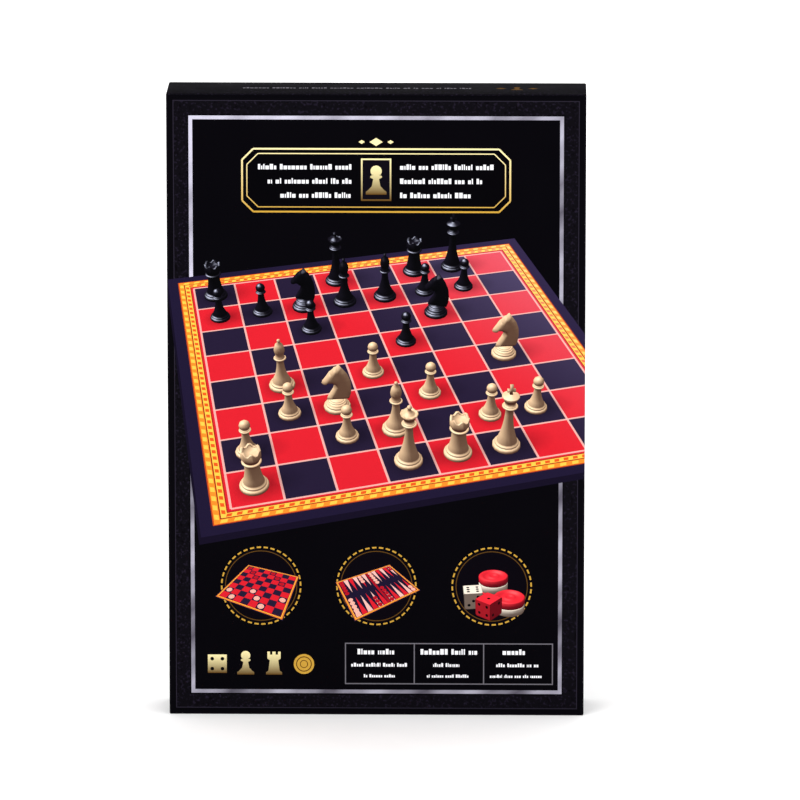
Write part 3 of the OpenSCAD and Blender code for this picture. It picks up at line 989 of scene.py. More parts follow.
def draw_men(art, eye):
    """Men on the squares of a board, the far ones first."""
    rough = {name: solid(shape, d, h, False) for name, (shape, d, h) in SHAPES.items()}
    placed = []
    for j, row in enumerate(reversed(GAME.split())):
        for i, letter in enumerate(row):
            if letter != ".":
                spot = Vector(((i - 3.5) * BOARD_SQUARE, (j - 3.5) * BOARD_SQUARE, 0))
                placed.append((eye.near(spot), LETTERS[letter.lower()], letter.islower(), spot))
    placed.sort(key=lambda man: man[0])
    for _, name, _, spot in placed:
        draw_shadow(art, eye, spot, SHAPES[name][1] * SHADOW_SHARE)
    for _, name, black, spot in placed:
        paint, turn = (BLACK_PAINT, BLACK_TURN) if black else (IVORY_PAINT, IVORY_TURN)
        draw_solid(art, rough[name], eye, paint, spot, turn)
    for bm in rough.values():
        bm.free()


def gold(y0, y1):
    """Gold that brightens and dims along the height."""
    return between(PALE_GOLD, OLD_GOLD, (0, y1), (0, y0))


def draw_cartouche(art, x, y, half_w, half_h, notch, width=1.1):
    """A title panel with notched corners and two gold lines."""
    def outline(grow):
        a, b, n = half_w + grow, half_h + grow, notch
        return [Vector((x + sx * u, y + sy * v)) for sx, sy, u, v in (
            (-1, -1, a, b - n), (-1, -1, a - n, b), (1, -1, a - n, b), (1, -1, a, b - n),
            (1, 1, a, b - n), (1, 1, a - n, b), (-1, 1, a - n, b), (-1, 1, a, b - n),
        )]

    art.fill(outline(0), rgb(0x020104))
    for grow, thick in ((0, width), (-3, width * 0.6)):
        points = outline(grow)
        for a, b in zip(points, points[1:] + points[:1]):
            shine = between(PALE_GOLD, GOLD, (x, y + half_h), (x, y - half_h))
            count = max(1, round((b - a).length / 12))
            for i in range(count):
                art.line(a.lerp(b, i / count), a.lerp(b, (i + 1) / count), thick, shine)


def draw_words(art, x0, x1, y, height, colour, seed):
    """A row of small blocks in groups, which stands for a line of print."""
    rng = np.random.default_rng(seed)
    x = x0
    while x < x1 - height:
        for _ in range(rng.integers(2, 8)):
            run = height * rng.choice([0.22, 0.42, 0.5, 0.62], p=[0.2, 0.3, 0.3, 0.2])
            if x + run > x1:
                break
            tall = height * rng.choice([0.7, 1.0], p=[0.65, 0.35])
            art.rect(x, y, x + run, y + tall, colour)
            x += run + 0.17 * height
        x += 0.5 * height


def draw_lozenge(art, x, y, half_w, half_h, colour):
    art.fill([(x - half_w, y), (x, y - half_h), (x + half_w, y), (x, y + half_h)], colour)


# Right sides of flat figures, in shares of their height
PAWN_SIDE = [
    (0.36, 0), (0.36, 0.1), (0.28, 0.16), (0.15, 0.3), (0.1, 0.55), (0.2, 0.6), (0.2, 0.66), (0.09, 0.7),
    *(polar((0, 0.83), 0.2, math.radians(a)) for a in range(-40, 91, 26)),
]
ROOK_SIDE = [
    (0.34, 0), (0.34, 0.1), (0.24, 0.17), (0.18, 0.62), (0.28, 0.7), (0.28, 1.0), (0.17, 1.0), (0.17, 0.87),
    (0.07, 0.87), (0.07, 1.0),
]


def draw_icon(art, side, x, y, size, colour):
    """A flat figure, size millimetres tall, standing at y."""
    points = [(x + u * size, y + v * size) for u, v in side]
    points += [(x - u * size, y + v * size) for u, v in side[::-1]]
    art.fill(points, colour)


def draw_die_icon(art, x, y, size, colour, pips):
    art.rect(x - size / 2, y - size / 2, x + size / 2, y + size / 2, colour)
    for u, v in pips:
        art.disc((x + u * size * 0.27, y + v * size * 0.27), size * 0.1, INK, sides=10)


PIPS = {
    1: [(0, 0)], 2: [(-1, -1), (1, 1)], 3: [(-1, -1), (0, 0), (1, 1)],
    4: [(-1, -1), (1, 1), (-1, 1), (1, -1)], 5: [(-1, -1), (1, 1), (-1, 1), (1, -1), (0, 0)],
    6: [(-1, -1), (1, 1), (-1, 1), (1, -1), (-1, 0), (1, 0)],
}


def draw_draught(art, x, y, radius, ink, light):
    """A flat draughtsman seen from above, with its rings."""
    art.disc((x, y), radius, ink)
    art.ring((x, y), radius * 0.72, radius * 0.10, light, sides=30)
    art.ring((x, y), radius * 0.36, radius * 0.08, light, sides=24)


def draw_points(art, x, y, width, height, inks):
    """Six narrow triangles of a backgammon board, standing on a line, and six hanging from another."""
    step = width / 6
    for i in range(6):
        x0 = x - width / 2 + i * step
        for low in (True, False):
            base, tip = (y - height / 2, y - height * 0.07) if low else (y + height / 2, y + height * 0.07)
            corners = (x0 + 0.06 * step, base), (x0 + 0.94 * step, base), (x0 + step / 2, tip)
            art.fill(corners, inks[(i + low) % 2])


def draw_medallion(art, x, y, radius):
    """A beaded gold ring round a dark ground."""
    art.disc((x, y), radius - 1, rgb(0x06030A), sides=60)
    art.ring((x, y), radius, 1.0, GOLD, sides=36, share=0.62)
    art.ring((x, y), radius - 2.4, 0.5, OLD_GOLD)


def draw_die(art, eye, place, size, turn, paint, values):
    """A die with those of its left, right, far and top faces that are in view."""
    turned = turner(turn)
    half = size / 2
    foot = Vector((*place, half))
    for normal, across, up, value in (
        ((-1, 0, 0), (0, -1, 0), (0, 0, 1), values[0]), ((0, -1, 0), (1, 0, 0), (0, 0, 1), values[1]),
        ((0, 0, 1), (1, 0, 0), (0, 1, 0), values[2]), ((1, 0, 0), (0, 1, 0), (0, 0, 1), values[0]),
    ):
        normal, across, up = Vector(normal), Vector(across), Vector(up)
        if turned(normal * half).dot(eye.back) <= 0.05 * size:
            continue
        face = Patch(art, lambda p: eye(foot + turned(normal * half + across * p.x + up * p.y)))
        tone = eye.lit(turned(normal), paint)
        r = half * 0.2
        rim = []
        for sx, sy, start in ((1, 1, 0), (-1, 1, 90), (-1, -1, 180), (1, -1, 270)):
            rim += arc(sx * (half - r), sy * (half - r), r, start, start + 90, 3)
        face.fill([(x * 1.06, y * 1.06) for x, y in rim], tone * 0.55)
        face.fill(rim, tone)
        for u, v in PIPS[value]:
            face.disc((u * size * 0.26, v * size * 0.26), size * 0.09, INK, sides=12)


def draw_front(art):
    """Front of the lid: a title panel, a set board, three medallions and a strip of cells."""
    eye = Eye(yaw=-14, pitch=36, distance=860, scale=0.705, centre=(8.6, 232))
    draw_board(art, eye)
    draw_men(art, eye)

    draw_cartouche(art, 0, 345, 84, 20, 7)
    art.rect(-9.5, 332, 9.5, 359, rgb(0x0B0710))
    art.frame(-9.5, 332, 9.5, 359, 1.0, gold(332, 359))
    draw_icon(art, PAWN_SIDE, 0, 336, 18, gold(336, 354))
    for side in (-1, 1):
        for row, (y, cut) in enumerate(((353.5, 0), (344.5, 6), (335.5, 14))):
            x0, x1 = (cut - 74, -15) if side < 0 else (15, 74 - cut)
            draw_words(art, x0, x1, y - 1.6, 3.4, WHITE, 11 + row + side)
    for x, size in ((0, 4.2), (-9, 2.0), (9, 2.0)):
        draw_lozenge(art, x, 369.5, size, size * 0.62, PALE_GOLD)

    for x in (-73, 0, 73):
        draw_medallion(art, x, 84, 25)
    tilted = Eye(yaw=24, pitch=40, distance=300, scale=0.27, centre=(-73, 84))
    draw_flat_board(Patch(art, lambda p: tilted((*p, 0))), 0, 0, 17)
    level = Eye(yaw=-30, pitch=44, distance=300, scale=0.25, centre=(0, 84))
    draw_flat_table(Patch(art, lambda p: level((*p, 0))), 0, 0, 160, 120)
    near = Eye(yaw=18, pitch=30, distance=300, scale=0.72, centre=(73, 74))
    pile = solid(draught, 13, DRAUGHT_T, 32)
    for x, y, paints in (
        (-3, 14, (RED_PAINT, BONE_PAINT, RED_PAINT)), (18, -8, (BONE_PAINT, RED_PAINT))
    ):
        for k, paint in enumerate(paints):
            draw_solid(art, pile, near, paint, (x, y, 6.6 * k))
    draw_die(art, near, (-14, -9), 15, 25, BONE_PAINT, (5, 3, 6))
    draw_die(art, near, (4, -20), 15, -20, RED_PAINT, (2, 4, 1))
    pile.free()

    art.frame(-20, 20, 112, 47, 0.7, GREY)
    for x in (24, 68):
        art.rect(x - 0.35, 20, x + 0.35, 47, GREY)
    for cell, (x0, x1) in enumerate(((-16, 20), (28, 64), (72, 108))):
        for row, (y, height) in enumerate(((39.5, 3.6), (31.5, 2.4), (24.5, 2.0))):
            cut = (4, 0, 8)[(row + cell) % 3]
            draw_words(art, x0 + cut, x1 - cut, y, height, WHITE, 40 + 5 * cell + row)
    draw_die_icon(art, -101, 33, 12, gold(27, 39), PIPS[4])
    draw_icon(art, PAWN_SIDE, -83, 26, 15, gold(26, 41))
    draw_icon(art, ROOK_SIDE, -65, 26, 15, gold(26, 41))
    draw_draught(art, -46, 33, 6.5, GOLD, OLD_GOLD)


def put_solid(target, source, place):
    """Adds a copy of one bmesh to another, moved by place."""
    verts = {v: target.verts.new(v.co + Vector(place)) for v in source.verts}
    for face in source.faces:
        target.faces.new([verts[v] for v in face.verts])


def scaled(bm):
    """Millimetres to metres."""
    bmesh.ops.scale(bm, vec=(MM, MM, MM), verts=bm.verts)
    return bm


def finish_piece(piece, body, slot, *nodes):
    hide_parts(*nodes)
    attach(piece, body)
    return piece


MEN = {"king": 1, "queen": 1, "bishop": 2, "knight": 2, "rook": 2, "pawn": 8}


def add_men(colour, material):
    """All the men of one colour, in the places of their nodes."""
    for name, count in MEN.items():
        node = f"{colour}_{name}" + ("s" if count > 1 else "")
        lo, hi = node_box(node)
        d, h = hi.y - lo.y, hi.z - lo.z
        one = bmesh.new()
        SHAPES[name][0](one, d, h, True)
        turn_outwards(one)
        group = bmesh.new()
        for i in range(count):
            share = i / max(1, count - 1)
            x = (lo.x + hi.x) / 2 if count == 1 else lo.x + d / 2 + (hi.x - lo.x - d) * share
            put_solid(group, one, (x, (lo.y + hi.y) / 2, lo.z))
        one.free()
        piece = add_object(f"{colour}_{name}_set", scaled(group), [material], smooth_angle=38)
        finish_piece(piece, f"{colour}_chessmen", f"{colour}_plastic", node)


# Draughts: the lower face in shares of the radius and in millimetres, and the turn from one to the next
DRAUGHT_FACE = [
    (0, 0.9), (0.20, 0.9), (0.26, 0.35), (0.36, 0.35), (0.42, 0.95), (0.66, 0.95), (0.72, 0.05), (0.93, 0),
    (1, 0.55),
]
DRAUGHT_T = 6.5
DRAUGHTS = 15
RIBS = 40
RIB_SHARE = 0.018
GOLDEN_TURN = 2.4


def draught(bm, r, t, sides=120):
    """A draughtsman with a ribbed edge, and a ring and a boss on both faces."""
    profile = [(u * r, z) for u, z in DRAUGHT_FACE] + [(r, t / 2)]
    profile += [(u * r, t - z) for u, z in DRAUGHT_FACE[::-1]]
    lathe(bm, profile, sides)
    for v in bm.verts:
        if math.hypot(v.co.x, v.co.y) > 0.97 * r:
            v.co.xy *= 1 - RIB_SHARE * (0.5 + 0.5 * math.cos(RIBS * math.atan2(v.co.y, v.co.x)))


def add_draughts(colour, material):
    node = f"{colour}_draughts"
    lo, hi = node_box(node)
    one = bmesh.new()
    draught(one, (hi.y - lo.y) / 2, DRAUGHT_T)
    group = bmesh.new()
    for i in range(DRAUGHTS):
        bmesh.ops.rotate(one, verts=one.verts, matrix=Matrix.Rotation(GOLDEN_TURN, 3, "Z"))
        z = lo.z + (hi.z - lo.z - DRAUGHT_T) * i / (DRAUGHTS - 1)
        put_solid(group, one, ((lo.x + hi.x) / 2, (lo.y + hi.y) / 2, z))
    one.free()
    piece = add_object(f"{colour}_draughts_stack", scaled(group), [material], smooth_angle=30)
    finish_piece(piece, f"{colour}_stack", f"{colour}_plastic", node)


def rounded_node(node, body, slot, material, radius):
    """A node's shape again, with its edges rounded."""
    bm = bmesh.new()
    bm.from_mesh(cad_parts[node].data)
    bmesh.ops.remove_doubles(bm, verts=bm.verts, dist=1e-6)
    bmesh.ops.dissolve_limit(bm, angle_limit=math.radians(0.5), verts=bm.verts, edges=bm.edges)
    sharp = [e for e in bm.edges if len(e.link_faces) == 2 and e.calc_face_angle() > math.radians(40)]
    bmesh.ops.bevel(
        bm, geom=sharp, offset=radius * MM, segments=3, profile=0.5, affect="EDGES", clamp_overlap=True
    )
    bmesh.ops.triangulate(bm, faces=[f for f in bm.faces if len(f.verts) > 4])
    piece = add_object(f"{node}_moulding", bm, [material], smooth_angle=35)
    return finish_piece(piece, body, slot, node)


def plastic(name, base, roughness):
    """Moulded plastic with a fine skin and small differences in gloss."""
    shader = Shader(name, Roughness=roughness)
    cloud, skin = shader.noise(18), shader.noise(0.25, 3)
    tone = shader.mix(shader.ramp(cloud, 0.3, 0.7), base * 0.93, base)
    shader.put(shader.surface, {
        "Base Color": tone, "Roughness": shader.ramp(cloud, 0.3, 0.7, roughness - 0.04, roughness + 0.06)
    })
    shader.bump(skin, 0.01)
    return shader.material


def fibrous(name, base, dark, fleck, depth=0.03):
    """Paper or board: short fibres, flecks and a soft relief."""
    shader = Shader(name, Roughness=0.9, Specular_IOR_Level=0.15)
    fibre = shader.noise(0.9, 4, (1, 1, 0.3))
    tone = shader.mix(shader.ramp(fibre, 0.35, 0.65), dark, base)
    flecks = shader.ramp(shader.noise(0.63, 2, (0.5, 1, 1)), 0.68, 0.74)
    shader.put(shader.surface, {"Base Color": shader.mix(flecks, tone, fleck)})
    shader.bump(fibre, depth)
    return shader.material


def give(node, material):
    """Gives a node that stays a material of its own."""
    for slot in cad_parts[node].material_slots:
        slot.link = "OBJECT"
        slot.material = material


# Dice: the radius of a pip and of an edge in shares of the size, and each face's way out and way across
DENT = 0.09
DIE_EDGE = 0.14
DIE_FACES = {
    1: ((1, 0, 0), (0, 1, 0)), 6: ((-1, 0, 0), (0, 1, 0)),
    2: ((0, 1, 0), (0, 0, 1)), 5: ((0, -1, 0), (0, 0, 1)),
    3: ((0, 0, 1), (1, 0, 0)), 4: ((0, 0, -1), (1, 0, 0)),
}


def numeral(text, height):
    """Triangles of a number, centred on the origin."""
    curve = bpy.data.curves.new("numeral", "FONT")
    curve.body, curve.size = text, 1
    letters = put_in_scene("numeral", curve)
    mesh = letters.evaluated_get(bpy.context.evaluated_depsgraph_get()).to_mesh()
    points = [Vector(v.co[:2]) for v in mesh.vertices]
    triangles = [[points[i] for i in face.vertices] for face in mesh.polygons]
    bpy.data.objects.remove(letters)
    bpy.data.curves.remove(curve)
    lo, hi = (Vector([pick(p[k] for t in triangles for p in t) for k in (0, 1)]) for pick in (min, max))
    scale = height / (hi.y - lo.y)
    return [[(p - (lo + hi) / 2) * scale for p in t] for t in triangles]


def cubelet(bm, size, ground, ink, numbers):
    """A rounded cube of six printed faces, with flat numbers or else with dented pips."""
    half, radius, pip = size / 2, size * DIE_EDGE, size * DENT
    flat = half - radius
    for value, (normal, across) in DIE_FACES.items():
        normal, across = Vector(normal), Vector(across)
        up = normal.cross(across)
        face = Print([(-half, -half), (half, -half), (half, half), (-half, half)], ground)
        for k in range(5):
            c = flat + (half - flat) * k / 5
            for s in (-1, 1):
                face.creases += [((s * c, -half), (s * c, half)), ((-half, s * c), (half, s * c))]
        spots = [] if numbers else [Vector(spot) * size * 0.25 for spot in PIPS[value]]
        for spot in spots:
            for grow in (1, 0.85, 0.6, 0.3):
                face.disc(spot, pip * grow, ink, sides=20)
        if numbers:
            for triangle in numeral(numbers[value], size * (0.46 if len(numbers[value]) < 2 else 0.38)):
                face.fill(triangle, ink)

        def place(p):
            near = min(((p - spot).length for spot in spots), default=size)
            dent = 0.45 * pip * math.sqrt(max(0, 1 - (near / pip) ** 2))
            outer = normal * half + across * p.x + up * p.y
            inner = Vector([max(-flat, min(flat, c)) for c in outer])
            return inner + (outer - inner).normalized() * (radius - dent)

        face.paint(bm, place)
    bmesh.ops.remove_doubles(bm, verts=bm.verts, dist=0.002)
    turn_outwards(bm)


def move_copy(bm, source, place, turns):
    """Adds a printed solid to another mesh after quarter turns about the axes."""
    layer, source_layer = ink_layer(bm), ink_layer(source)
    verts = {}
    for v in source.verts:
        co = v.co.copy()
        for axis in turns:
            co.rotate(Matrix.Rotation(math.pi / 2, 3, axis))
        verts[v] = bm.verts.new(co + Vector(place))
    for face in source.faces:
        copy = bm.faces.new([verts[v] for v in face.verts])
        for a, b in zip(copy.loops, face.loops):
            a[layer] = b[source_layer]


def add_dice(node, slot, material, ground, ink, turns, numbers=None):
    """The dice of a node, side by side, each with another face up."""
    lo, hi = node_box(node)
    size = hi.z - lo.z
    one = bmesh.new()
    cubelet(one, size, ground, ink, numbers)
    group = bmesh.new()
    for i, turn in enumerate(turns):
        x = lo.x + size / 2 + i * (hi.x - lo.x - size)
        move_copy(group, one, (x, (lo.y + hi.y) / 2, (lo.z + hi.z) / 2), turn)
    one.free()
    finish_piece(add_object(f"{node}_marked", scaled(group), [material], smooth_angle=40), "dice", slot, node)


# Board and rules
def thicken(bm, way):
    """Closes an open sheet into a slab that reaches to a second face."""
    rim = [e for e in bm.edges if e.is_boundary]
    grown = bmesh.ops.extrude_edge_only(bm, edges=rim)["geom"]
    bmesh.ops.translate(bm, vec=way, verts=[g for g in grown if isinstance(g, bmesh.types.BMVert)])
    edges = [g for g in grown if isinstance(g, bmesh.types.BMEdge) and all(v.link_faces for v in g.verts)]
    bmesh.ops.edgeloop_fill(bm, edges=[e for e in edges if e.is_boundary])


def add_sheet(node, body, slot, facing, draw, material, ground):
    """A printed sheet in the place of its node, drawn as seen from its printed side."""
    lo, hi = node_box(node)
    w, h = hi.x - lo.x, hi.z - lo.z
    art = Print([(-w / 2, 0), (w / 2, 0), (w / 2, h), (-w / 2, h)], ground)
    draw(art, w, h)
    bm = bmesh.new()
    y = lo.y if facing < 0 else hi.y
    art.paint(bm, lambda p: Vector(((lo.x + hi.x) / 2 - facing * p.x, y, lo.z + p.y)) * MM)
    thicken(bm, (0, -facing * (hi.y - lo.y) * MM, 0))
    colour_rest(bm, ground)
    turn_outwards(bm)
    finish_piece(add_object(f"{node}_print", bm, [material], smooth_angle=30), body, slot, node)


# Half boards: their squares, what the tape and the bar take, and the bands with their reach and width
PRINTED_SQUARE = 39
FIELD_W, FIELD_H = 4 * PRINTED_SQUARE, 8 * PRINTED_SQUARE
TAPE = 9
BAR = 8
BANDS = ((20, ORANGE, 4.4), (14.5, YELLOW, 2.8), (4, RED, 1.4))
TALLER = 4
HALF_LINE = 0.5


def draw_half_border(art, w, h, spine, spare):
    """Bands round three sides of a half board. spare is left free by the spine. Gives the field's corners."""
    near = spine * (w / 2 - spare)
    far = near - spine * FIELD_W
    z0, z1 = (h - FIELD_H) / 2, (h + FIELD_H) / 2
    for reach, colour, width in BANDS:
        for out, ink in ((reach, colour), (reach - width, NAVY)):
            x0, x1 = sorted((spine * w / 2, far - spine * out))
            art.rect(x0, z0 - out - TALLER, x1, z1 + out + TALLER, ink)
    return min(near, far), z0, max(near, far), z1


def draw_chess_half(first, spine):
    """Half a chequered board. first tells which colour is next to the spine in the lowest row."""
    def draw(art, w, h):
        x0, z0, x1, z1 = draw_half_border(art, w, h, spine, TAPE)
        dark_first = (first + (0 if spine < 0 else 3)) % 2
        draw_chequers(art, x0, z0, PRINTED_SQUARE, 4, 8, (NAVY, RED) if dark_first else (RED, NAVY))
        for k in range(5):
            x = x0 + k * PRINTED_SQUARE
            art.rect(x - HALF_LINE, z0 - HALF_LINE, x + HALF_LINE, z1 + HALF_LINE, CREAM)
        for row in range(9):
            z = z0 + row * PRINTED_SQUARE
            art.rect(x0 - HALF_LINE, z - HALF_LINE, x1 + HALF_LINE, z + HALF_LINE, CREAM)

    return draw


def draw_backgammon_half(first, spine):
    """Half a backgammon table, with six points at the top and six at the bottom."""
    def draw(art, w, h):
        x0, z0, x1, z1 = draw_half_border(art, w, h, spine, BAR)
        a, b = sorted((spine * w / 2, spine * (w / 2 - BAR)))
        art.rect(a, z0 - TALLER, b, z1 + TALLER, DEEP_RED)
        art.rect(x0, z0, x1, z1, rgb(0x15101F))
        inks = (RED, CREAM) if first else (CREAM, RED)
        draw_points(art, (x0 + x1) / 2, h / 2, x1 - x0, z1 - z0, inks)
        art.frame(x0, z0, x1, z1, 0.9, CREAM, step=60)

    return draw


RULES_PAPER = rgb(0xD3D0C8)
RULES_INK = rgb(0x2A2A2E)
RULES_T = 0.25
LINE_STEP = 4.4


def draw_rules_page(art, x, w, h, seed):
    """A page of dashes in paragraphs, with a small board at the top."""
    half = w / 2
    square = 4.5
    side = 4 * square
    draw_chequers(art, x - side, h - 58, square, 8, 8, (None, RULES_INK))
    art.frame(x - side - 1, h - 59, x + side + 1, h - 21, 0.6, RULES_INK, step=80)
    row = 0
    y = h - 68
    while y > 14:
        if row % 7 != 6:
            end = half - 12 if row % 7 < 5 else -half + 60
            draw_words(art, x - half + 12, x + end, y, 1.5, rgb(0x3A3A3E), seed + row)
        y -= LINE_STEP
        row += 1


def add_rules(material):
    """One sheet folded like a book, with a round fold."""
    node = "rules_sheet"
    lo, hi = node_box(node)
    r = (hi.y - lo.y) / 2
    w, h = hi.x - lo.x, hi.z - lo.z
    flat = w - r
    bend = math.pi * r
    art = Print([(0, 0), (2 * flat + bend, 0), (2 * flat + bend, h), (0, h)], RULES_PAPER)
    for k in range(9):
        x = flat + bend * k / 8
        art.creases.append(((x, 0), (x, h)))
    draw_rules_page(art, flat / 2, w - 6, h, 300)
    draw_rules_page(art, flat * 1.5 + bend, w - 6, h, 400)

    def place(p):
        if p.x <= flat:
            x, y = hi.x - p.x, lo.y
        elif p.x < flat + bend:
            a = (p.x - flat) / r
            x, y = lo.x + r - r * math.sin(a), lo.y + r - r * math.cos(a)
        else:
            x, y = lo.x + r + p.x - flat - bend, hi.y
        return Vector((x, y, lo.z + p.y)) * MM

    bm = bmesh.new()
    art.paint(bm, place)
    turn_outwards(bm)
    faces = list(bm.faces)
    bm.normal_update()
    if sum(f.normal.y * f.calc_area() for f in faces if f.calc_center_median().y < (lo.y + r) * MM) > 0:
        bmesh.ops.reverse_faces(bm, faces=faces)
    bmesh.ops.solidify(bm, geom=faces, thickness=RULES_T * MM)
    colour_rest(bm, RULES_PAPER)
    finish_piece(add_object("rules_booklet", bm, [material], smooth_angle=40), "rules", "rules_paper", node)


THREAD = 0.5


def cloth(name, base, dark):
    """Book cloth: a plain weave."""
    shader = Shader(name, Roughness=0.85, Specular_IOR_Level=0.2)
    sockets = {"Vector": shader.place(), "Scale": 0.31 / (THREAD * MM), "Distortion": 0.6}
    waves = [shader.add("TexWave", sockets, bands_direction=axis).outputs[0] for axis in ("X", "Z")]
    weave = shader.math("MAXIMUM", *waves)
    shader.put(shader.surface, {"Base Color": shader.mix(weave, dark, base)})
    shader.bump(weave, 0.05)
    return shader.material


def printed_plastic(name, roughness):
    """Moulded plastic whose marks are in the mesh colours."""
    shader = Shader(name, Roughness=roughness)
    cloud = shader.noise(9)
    dim = shader.mix(shader.ramp(cloud, 0.3, 0.7, 0, 0.1), shader.ink(), rgb(0x6B5A40))
    shader.put(shader.surface, {
        "Base Color": dim, "Roughness": shader.ramp(cloud, 0.3, 0.7, roughness - 0.05, roughness + 0.05)
    })
    shader.bump(shader.noise(0.3, 3), 0.01)
    return shader.material


def silver_with_painted_glare(p):
    """Silver that brightens and dims along a frame, with a painted glare that makes it brighter towards the
    frame's top left corner.
    """
    wave = math.sin(0.11 * p[0] + 1.7) * math.sin(0.07 * p[1] + 0.6) + 0.6 * math.sin(0.31 * (p[0] - p[1]))
    # Painted highlight: the silver is brighter towards the frame's top left corner.
    painted_glare = max(0, 1 - math.hypot(p[0] + 118, p[1] - 384) / 260)
    return PEWTER.lerp(SILVER, min(1, max(0, 0.32 + 0.24 * wave + 0.66 * painted_glare)))


BAND_INSET = 4.7
FRAME_INSET = 14
FRAME_WIDTH = 2.4


def draw_panel(wrap):
    """The plain field of a panel, with its rim and its frame. The near-black strip at the rim is painted
    shade of the panel's rounded edge.
    """
    def inset(by, ink, **more):
        wrap.art.rect(by - wrap.w / 2, by, wrap.w / 2 - by, wrap.h - by, ink, **more)

    # Painted shade: a near-black strip along the panel's edge, where the rounded edge turns away from the
    # light.
    inset(FOLD_R, RIM)
    inset(BAND_INSET - 0.5, HAIRLINE)
    inset(BAND_INSET, BAND, finish=1)
    inset(FRAME_INSET - 0.8, RIM)
    x = wrap.w / 2 - FRAME_INSET
    # The silver frame, with its painted highlight at the top left.
    wrap.art.frame(-x, FRAME_INSET, x, wrap.h - FRAME_INSET, FRAME_WIDTH, silver_with_painted_glare, 6)
    inset(FRAME_INSET + FRAME_WIDTH, INK)


def draw_walls(wrap):
    """Narrow walls: chequers, a small title panel and rows of dashes."""
    wrap.clear_walls(BAND, 1)
    top = wrap.wall_patch("top")
    draw_words(top, -84, 62, -1.5, 3.4, GREY, 501)
    draw_lozenge(top, 78, 0.2, 3.4, 2.2, OLD_GOLD)
    draw_icon(top, PAWN_SIDE, 88, -5, 10, OLD_GOLD)
    draw_lozenge(top, 98, 0.2, 3.4, 2.2, OLD_GOLD)
    for seed, side in enumerate(("left", "right")):
        wall = wrap.wall_patch(side)
        for end in (-1, 1):
            draw_chequers(wall, end * 140 - 32, -8, 8, 8, 2, (NAVY, DEEP_RED)[::end])
            for y in (8.8, -9.8):
                wall.rect(end * 144 - 32, y, end * 144 + 32, y + 1, GOLD)
        draw_cartouche(wall, 0, 0, 88, 12, 4.5, width=0.9)
        draw_icon(wall, PAWN_SIDE, -72, -6.5, 13, GOLD)
        draw_icon(wall, ROOK_SIDE, 72, -6.5, 13, GOLD)
        draw_words(wall, -60, 58, 1.6, 4.0, WHITE, 510 + seed)
        draw_words(wall, -52, 50, -5.6, 3.0, WHITE, 520 + seed)
    bottom = wrap.wall_patch("bottom")
    for x in range(-96, 97, 12):
        draw_lozenge(bottom, x, 0, 3.2, 2.0, GREY)


def draw_flat_border(art, x, z, half_w, half_h):
    for grow, colour in ((6.5, NAVY), (4.6, ORANGE), (3.2, rgb(0x8F2A18)), (2.6, YELLOW), (1.2, DEEP_RED)):
        w, h = half_w + grow, half_h + grow
        art.rect(x - w, z - h, x + w, z + h, colour)


def draw_flat_board(art, x, z, square):
    """A chequered board seen from above, with its border and some draughts."""
    half = 4 * square
    draw_flat_border(art, x, z, half, half)
    draw_chequers(art, x - half, z - half, square, 8, 8, (RED, NAVY))
    for spots, ink, light in (
        (((1, 0), (5, 0), (0, 1), (4, 1), (3, 2), (7, 2)), CREAM, ORANGE),
        (((6, 5), (2, 5), (5, 6), (1, 6), (4, 7), (0, 7)), DEEP_RED, RED),
    ):
        for i, j in spots:
            cx, cz = x - half + (i + 0.5) * square, z - half + (j + 0.5) * square
            draw_draught(art, cx, cz, square * 0.38, ink, light)


def draw_flat_table(art, x, z, w, h):
    """A backgammon table seen from above, with its draughts set out."""
    draw_flat_border(art, x, z, w / 2, h / 2)
    art.rect(x - w / 2, z - h / 2, x + w / 2, z + h / 2, rgb(0x1B132C))
    half = w / 2 - 3
    for side in (-1, 1):
        draw_points(art, x + side * (3 + half / 2), z, half, h, (RED, CREAM))
    art.rect(x - 3, z - h / 2, x + 3, z + h / 2, DEEP_RED)
    step = half / 6
    r = min(step * 0.42, h / 22)
    for side in (1, -1):
        for point, count, far in ((0, 5, 1), (4, 3, -1), (6, 5, -1), (11, 2, 1)):
            dark = far == side
            cx = x - w / 2 + (point + 0.5) * step + (6 if point > 5 else 0)
            for k in range(count):
                cz = z + side * (h / 2 - r - 2 * r * k)
                draw_draught(art, cx, cz, r, DEEP_RED if dark else CREAM, RED if dark else ORANGE)


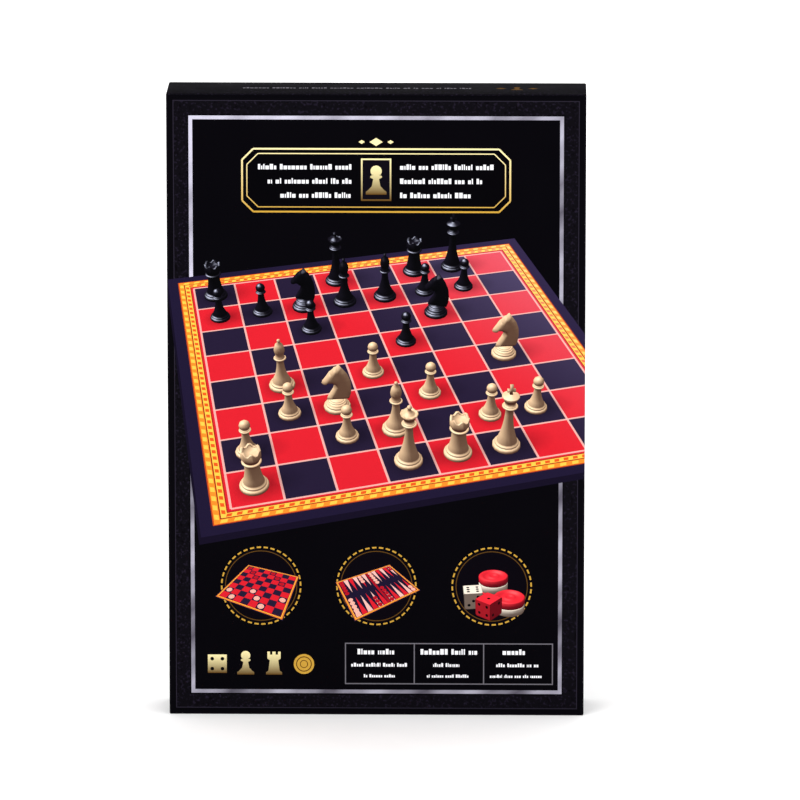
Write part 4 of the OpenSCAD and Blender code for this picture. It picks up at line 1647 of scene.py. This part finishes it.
def draw_back(art):
    """Back of the base: a small title panel, two flat boards, and cells."""
    draw_cartouche(art, 0, 352, 62, 12, 5, width=0.9)
    draw_icon(art, PAWN_SIDE, 0, 344.5, 15, gold(344, 360))
    for side in (-1, 1):
        for row, y in enumerate((353.5, 346)):
            x0, x1 = sorted((side * 12, side * (54 - 8 * row)))
            draw_words(art, x0, x1, y, 3.4, WHITE, 610 + row + side)
    for x, size in ((0, 3.6), (-8, 1.8), (8, 1.8)):
        draw_lozenge(art, x, 368.5, size, size * 0.62, PALE_GOLD)
    draw_flat_board(art, -38, 264, 14)
    for row in range(9):
        y = 312 - row * 11.5
        if row % 4 != 3:
            draw_words(art, 36, 104 - (row % 3) * 9, y, 3.0, WHITE, 620 + row)
    draw_flat_table(art, 26, 134, 152, 96)
    for row, pips in enumerate((6, 4, 1)):
        draw_die_icon(art, -84, 168 - row * 33, 16, (RED, CREAM, RED)[row], PIPS[pips])
    for x in (-96, -73, -50, -27):
        art.rect(x - 10, 34, x + 10, 60, rgb(0x0B0710))
        art.frame(x - 10, 34, x + 10, 60, 0.7, GREY)
    draw_icon(art, PAWN_SIDE, -96, 38, 17, gold(38, 55))
    draw_icon(art, ROOK_SIDE, -73, 38, 18, gold(38, 56))
    draw_draught(art, -50, 47, 8, GOLD, OLD_GOLD)
    draw_die_icon(art, -27, 47, 14, gold(40, 54), PIPS[5])
    for row, y in enumerate((53, 45, 37)):
        draw_words(art, -8, 102 - 14 * row, y, 3.0, WHITE, 640 + row)


make_camera()
make_stage()

ink, speckled = ink_material("ink"), ink_material("speckled_ink", speckle=True)
lid = Wrap("lid_wrap", -1, BAND)
draw_panel(lid)
draw_front(lid.art)
draw_walls(lid)
lid.make("lid_print", "lid", [ink, speckled])

base = Wrap("base_wrap", 1, BAND)
draw_panel(base)
draw_back(base.art)
draw_walls(base)
base.make("base_print", "base", [ink, speckled])

chipboard = fibrous("chipboard", rgb(0xA89B86), rgb(0x8E8270), rgb(0x5F564A))
stay_paper = fibrous("stay_paper", rgb(0xDCD3BF), rgb(0xCFC5B0), rgb(0xB8AD98), depth=0.02)
greyboard = fibrous("greyboard", rgb(0x9A968D), rgb(0x858178), rgb(0x5C5952))
spine_cloth = cloth("spine_cloth", rgb(0x1C1530), rgb(0x0B0814))
for nodes, material in (
    (("lid_card", "base_card"), chipboard),
    (("lid_corner_stays", "base_corner_stays"), stay_paper),
    (("board_card_left", "board_card_right"), greyboard),
    (("spine_tape_left", "spine_tape_right"), spine_cloth),
):
    for node in nodes:
        give(node, material)

tray_plastic = plastic("tray_plastic", rgb(0xD5CEBF), 0.38)
for node in (
    "centre_tray", "left_stack_tray", "right_stack_tray", "left_upper_riser", "left_lower_riser",
    "right_upper_riser", "right_lower_riser",
):
    rounded_node(node, "tray", "tray_plastic", tray_plastic, 0.7)

ivory_plastic = plastic("ivory_plastic", IVORY, 0.34)
black_plastic = plastic("black_plastic", rgb(0x17151A), 0.28)
red_plastic = plastic("red_plastic", rgb(0xA8101A), 0.3)
add_men("ivory", ivory_plastic)
add_men("black", black_plastic)
add_draughts("red", red_plastic)
add_draughts("black", black_plastic)

marked = printed_plastic("marked_plastic", 0.3)
add_dice("ivory_dice", "ivory_plastic", marked, IVORY, rgb(0x141216), ("XX", "YX"))
add_dice("black_dice", "black_plastic", marked, rgb(0x17151A), IVORY, ("Y", "ZX"))
doubles = {1: "2", 2: "4", 3: "8", 4: "16", 5: "64", 6: "32"}
add_dice("doubling_cube", "ivory_plastic", marked, IVORY, rgb(0xA01018), ("",), doubles)

for side, spine, facing, first in (("left", 1, -1, 0), ("right", -1, 1, 1)):
    body = f"board_{side}"
    chess, backgammon = draw_chess_half(first, spine), draw_backgammon_half(first, -spine)
    add_sheet(f"chess_sheet_{side}", body, "board_print", facing, chess, ink, NAVY)
    add_sheet(f"backgammon_sheet_{side}", body, "board_print", -facing, backgammon, ink, NAVY)
add_rules(ink)
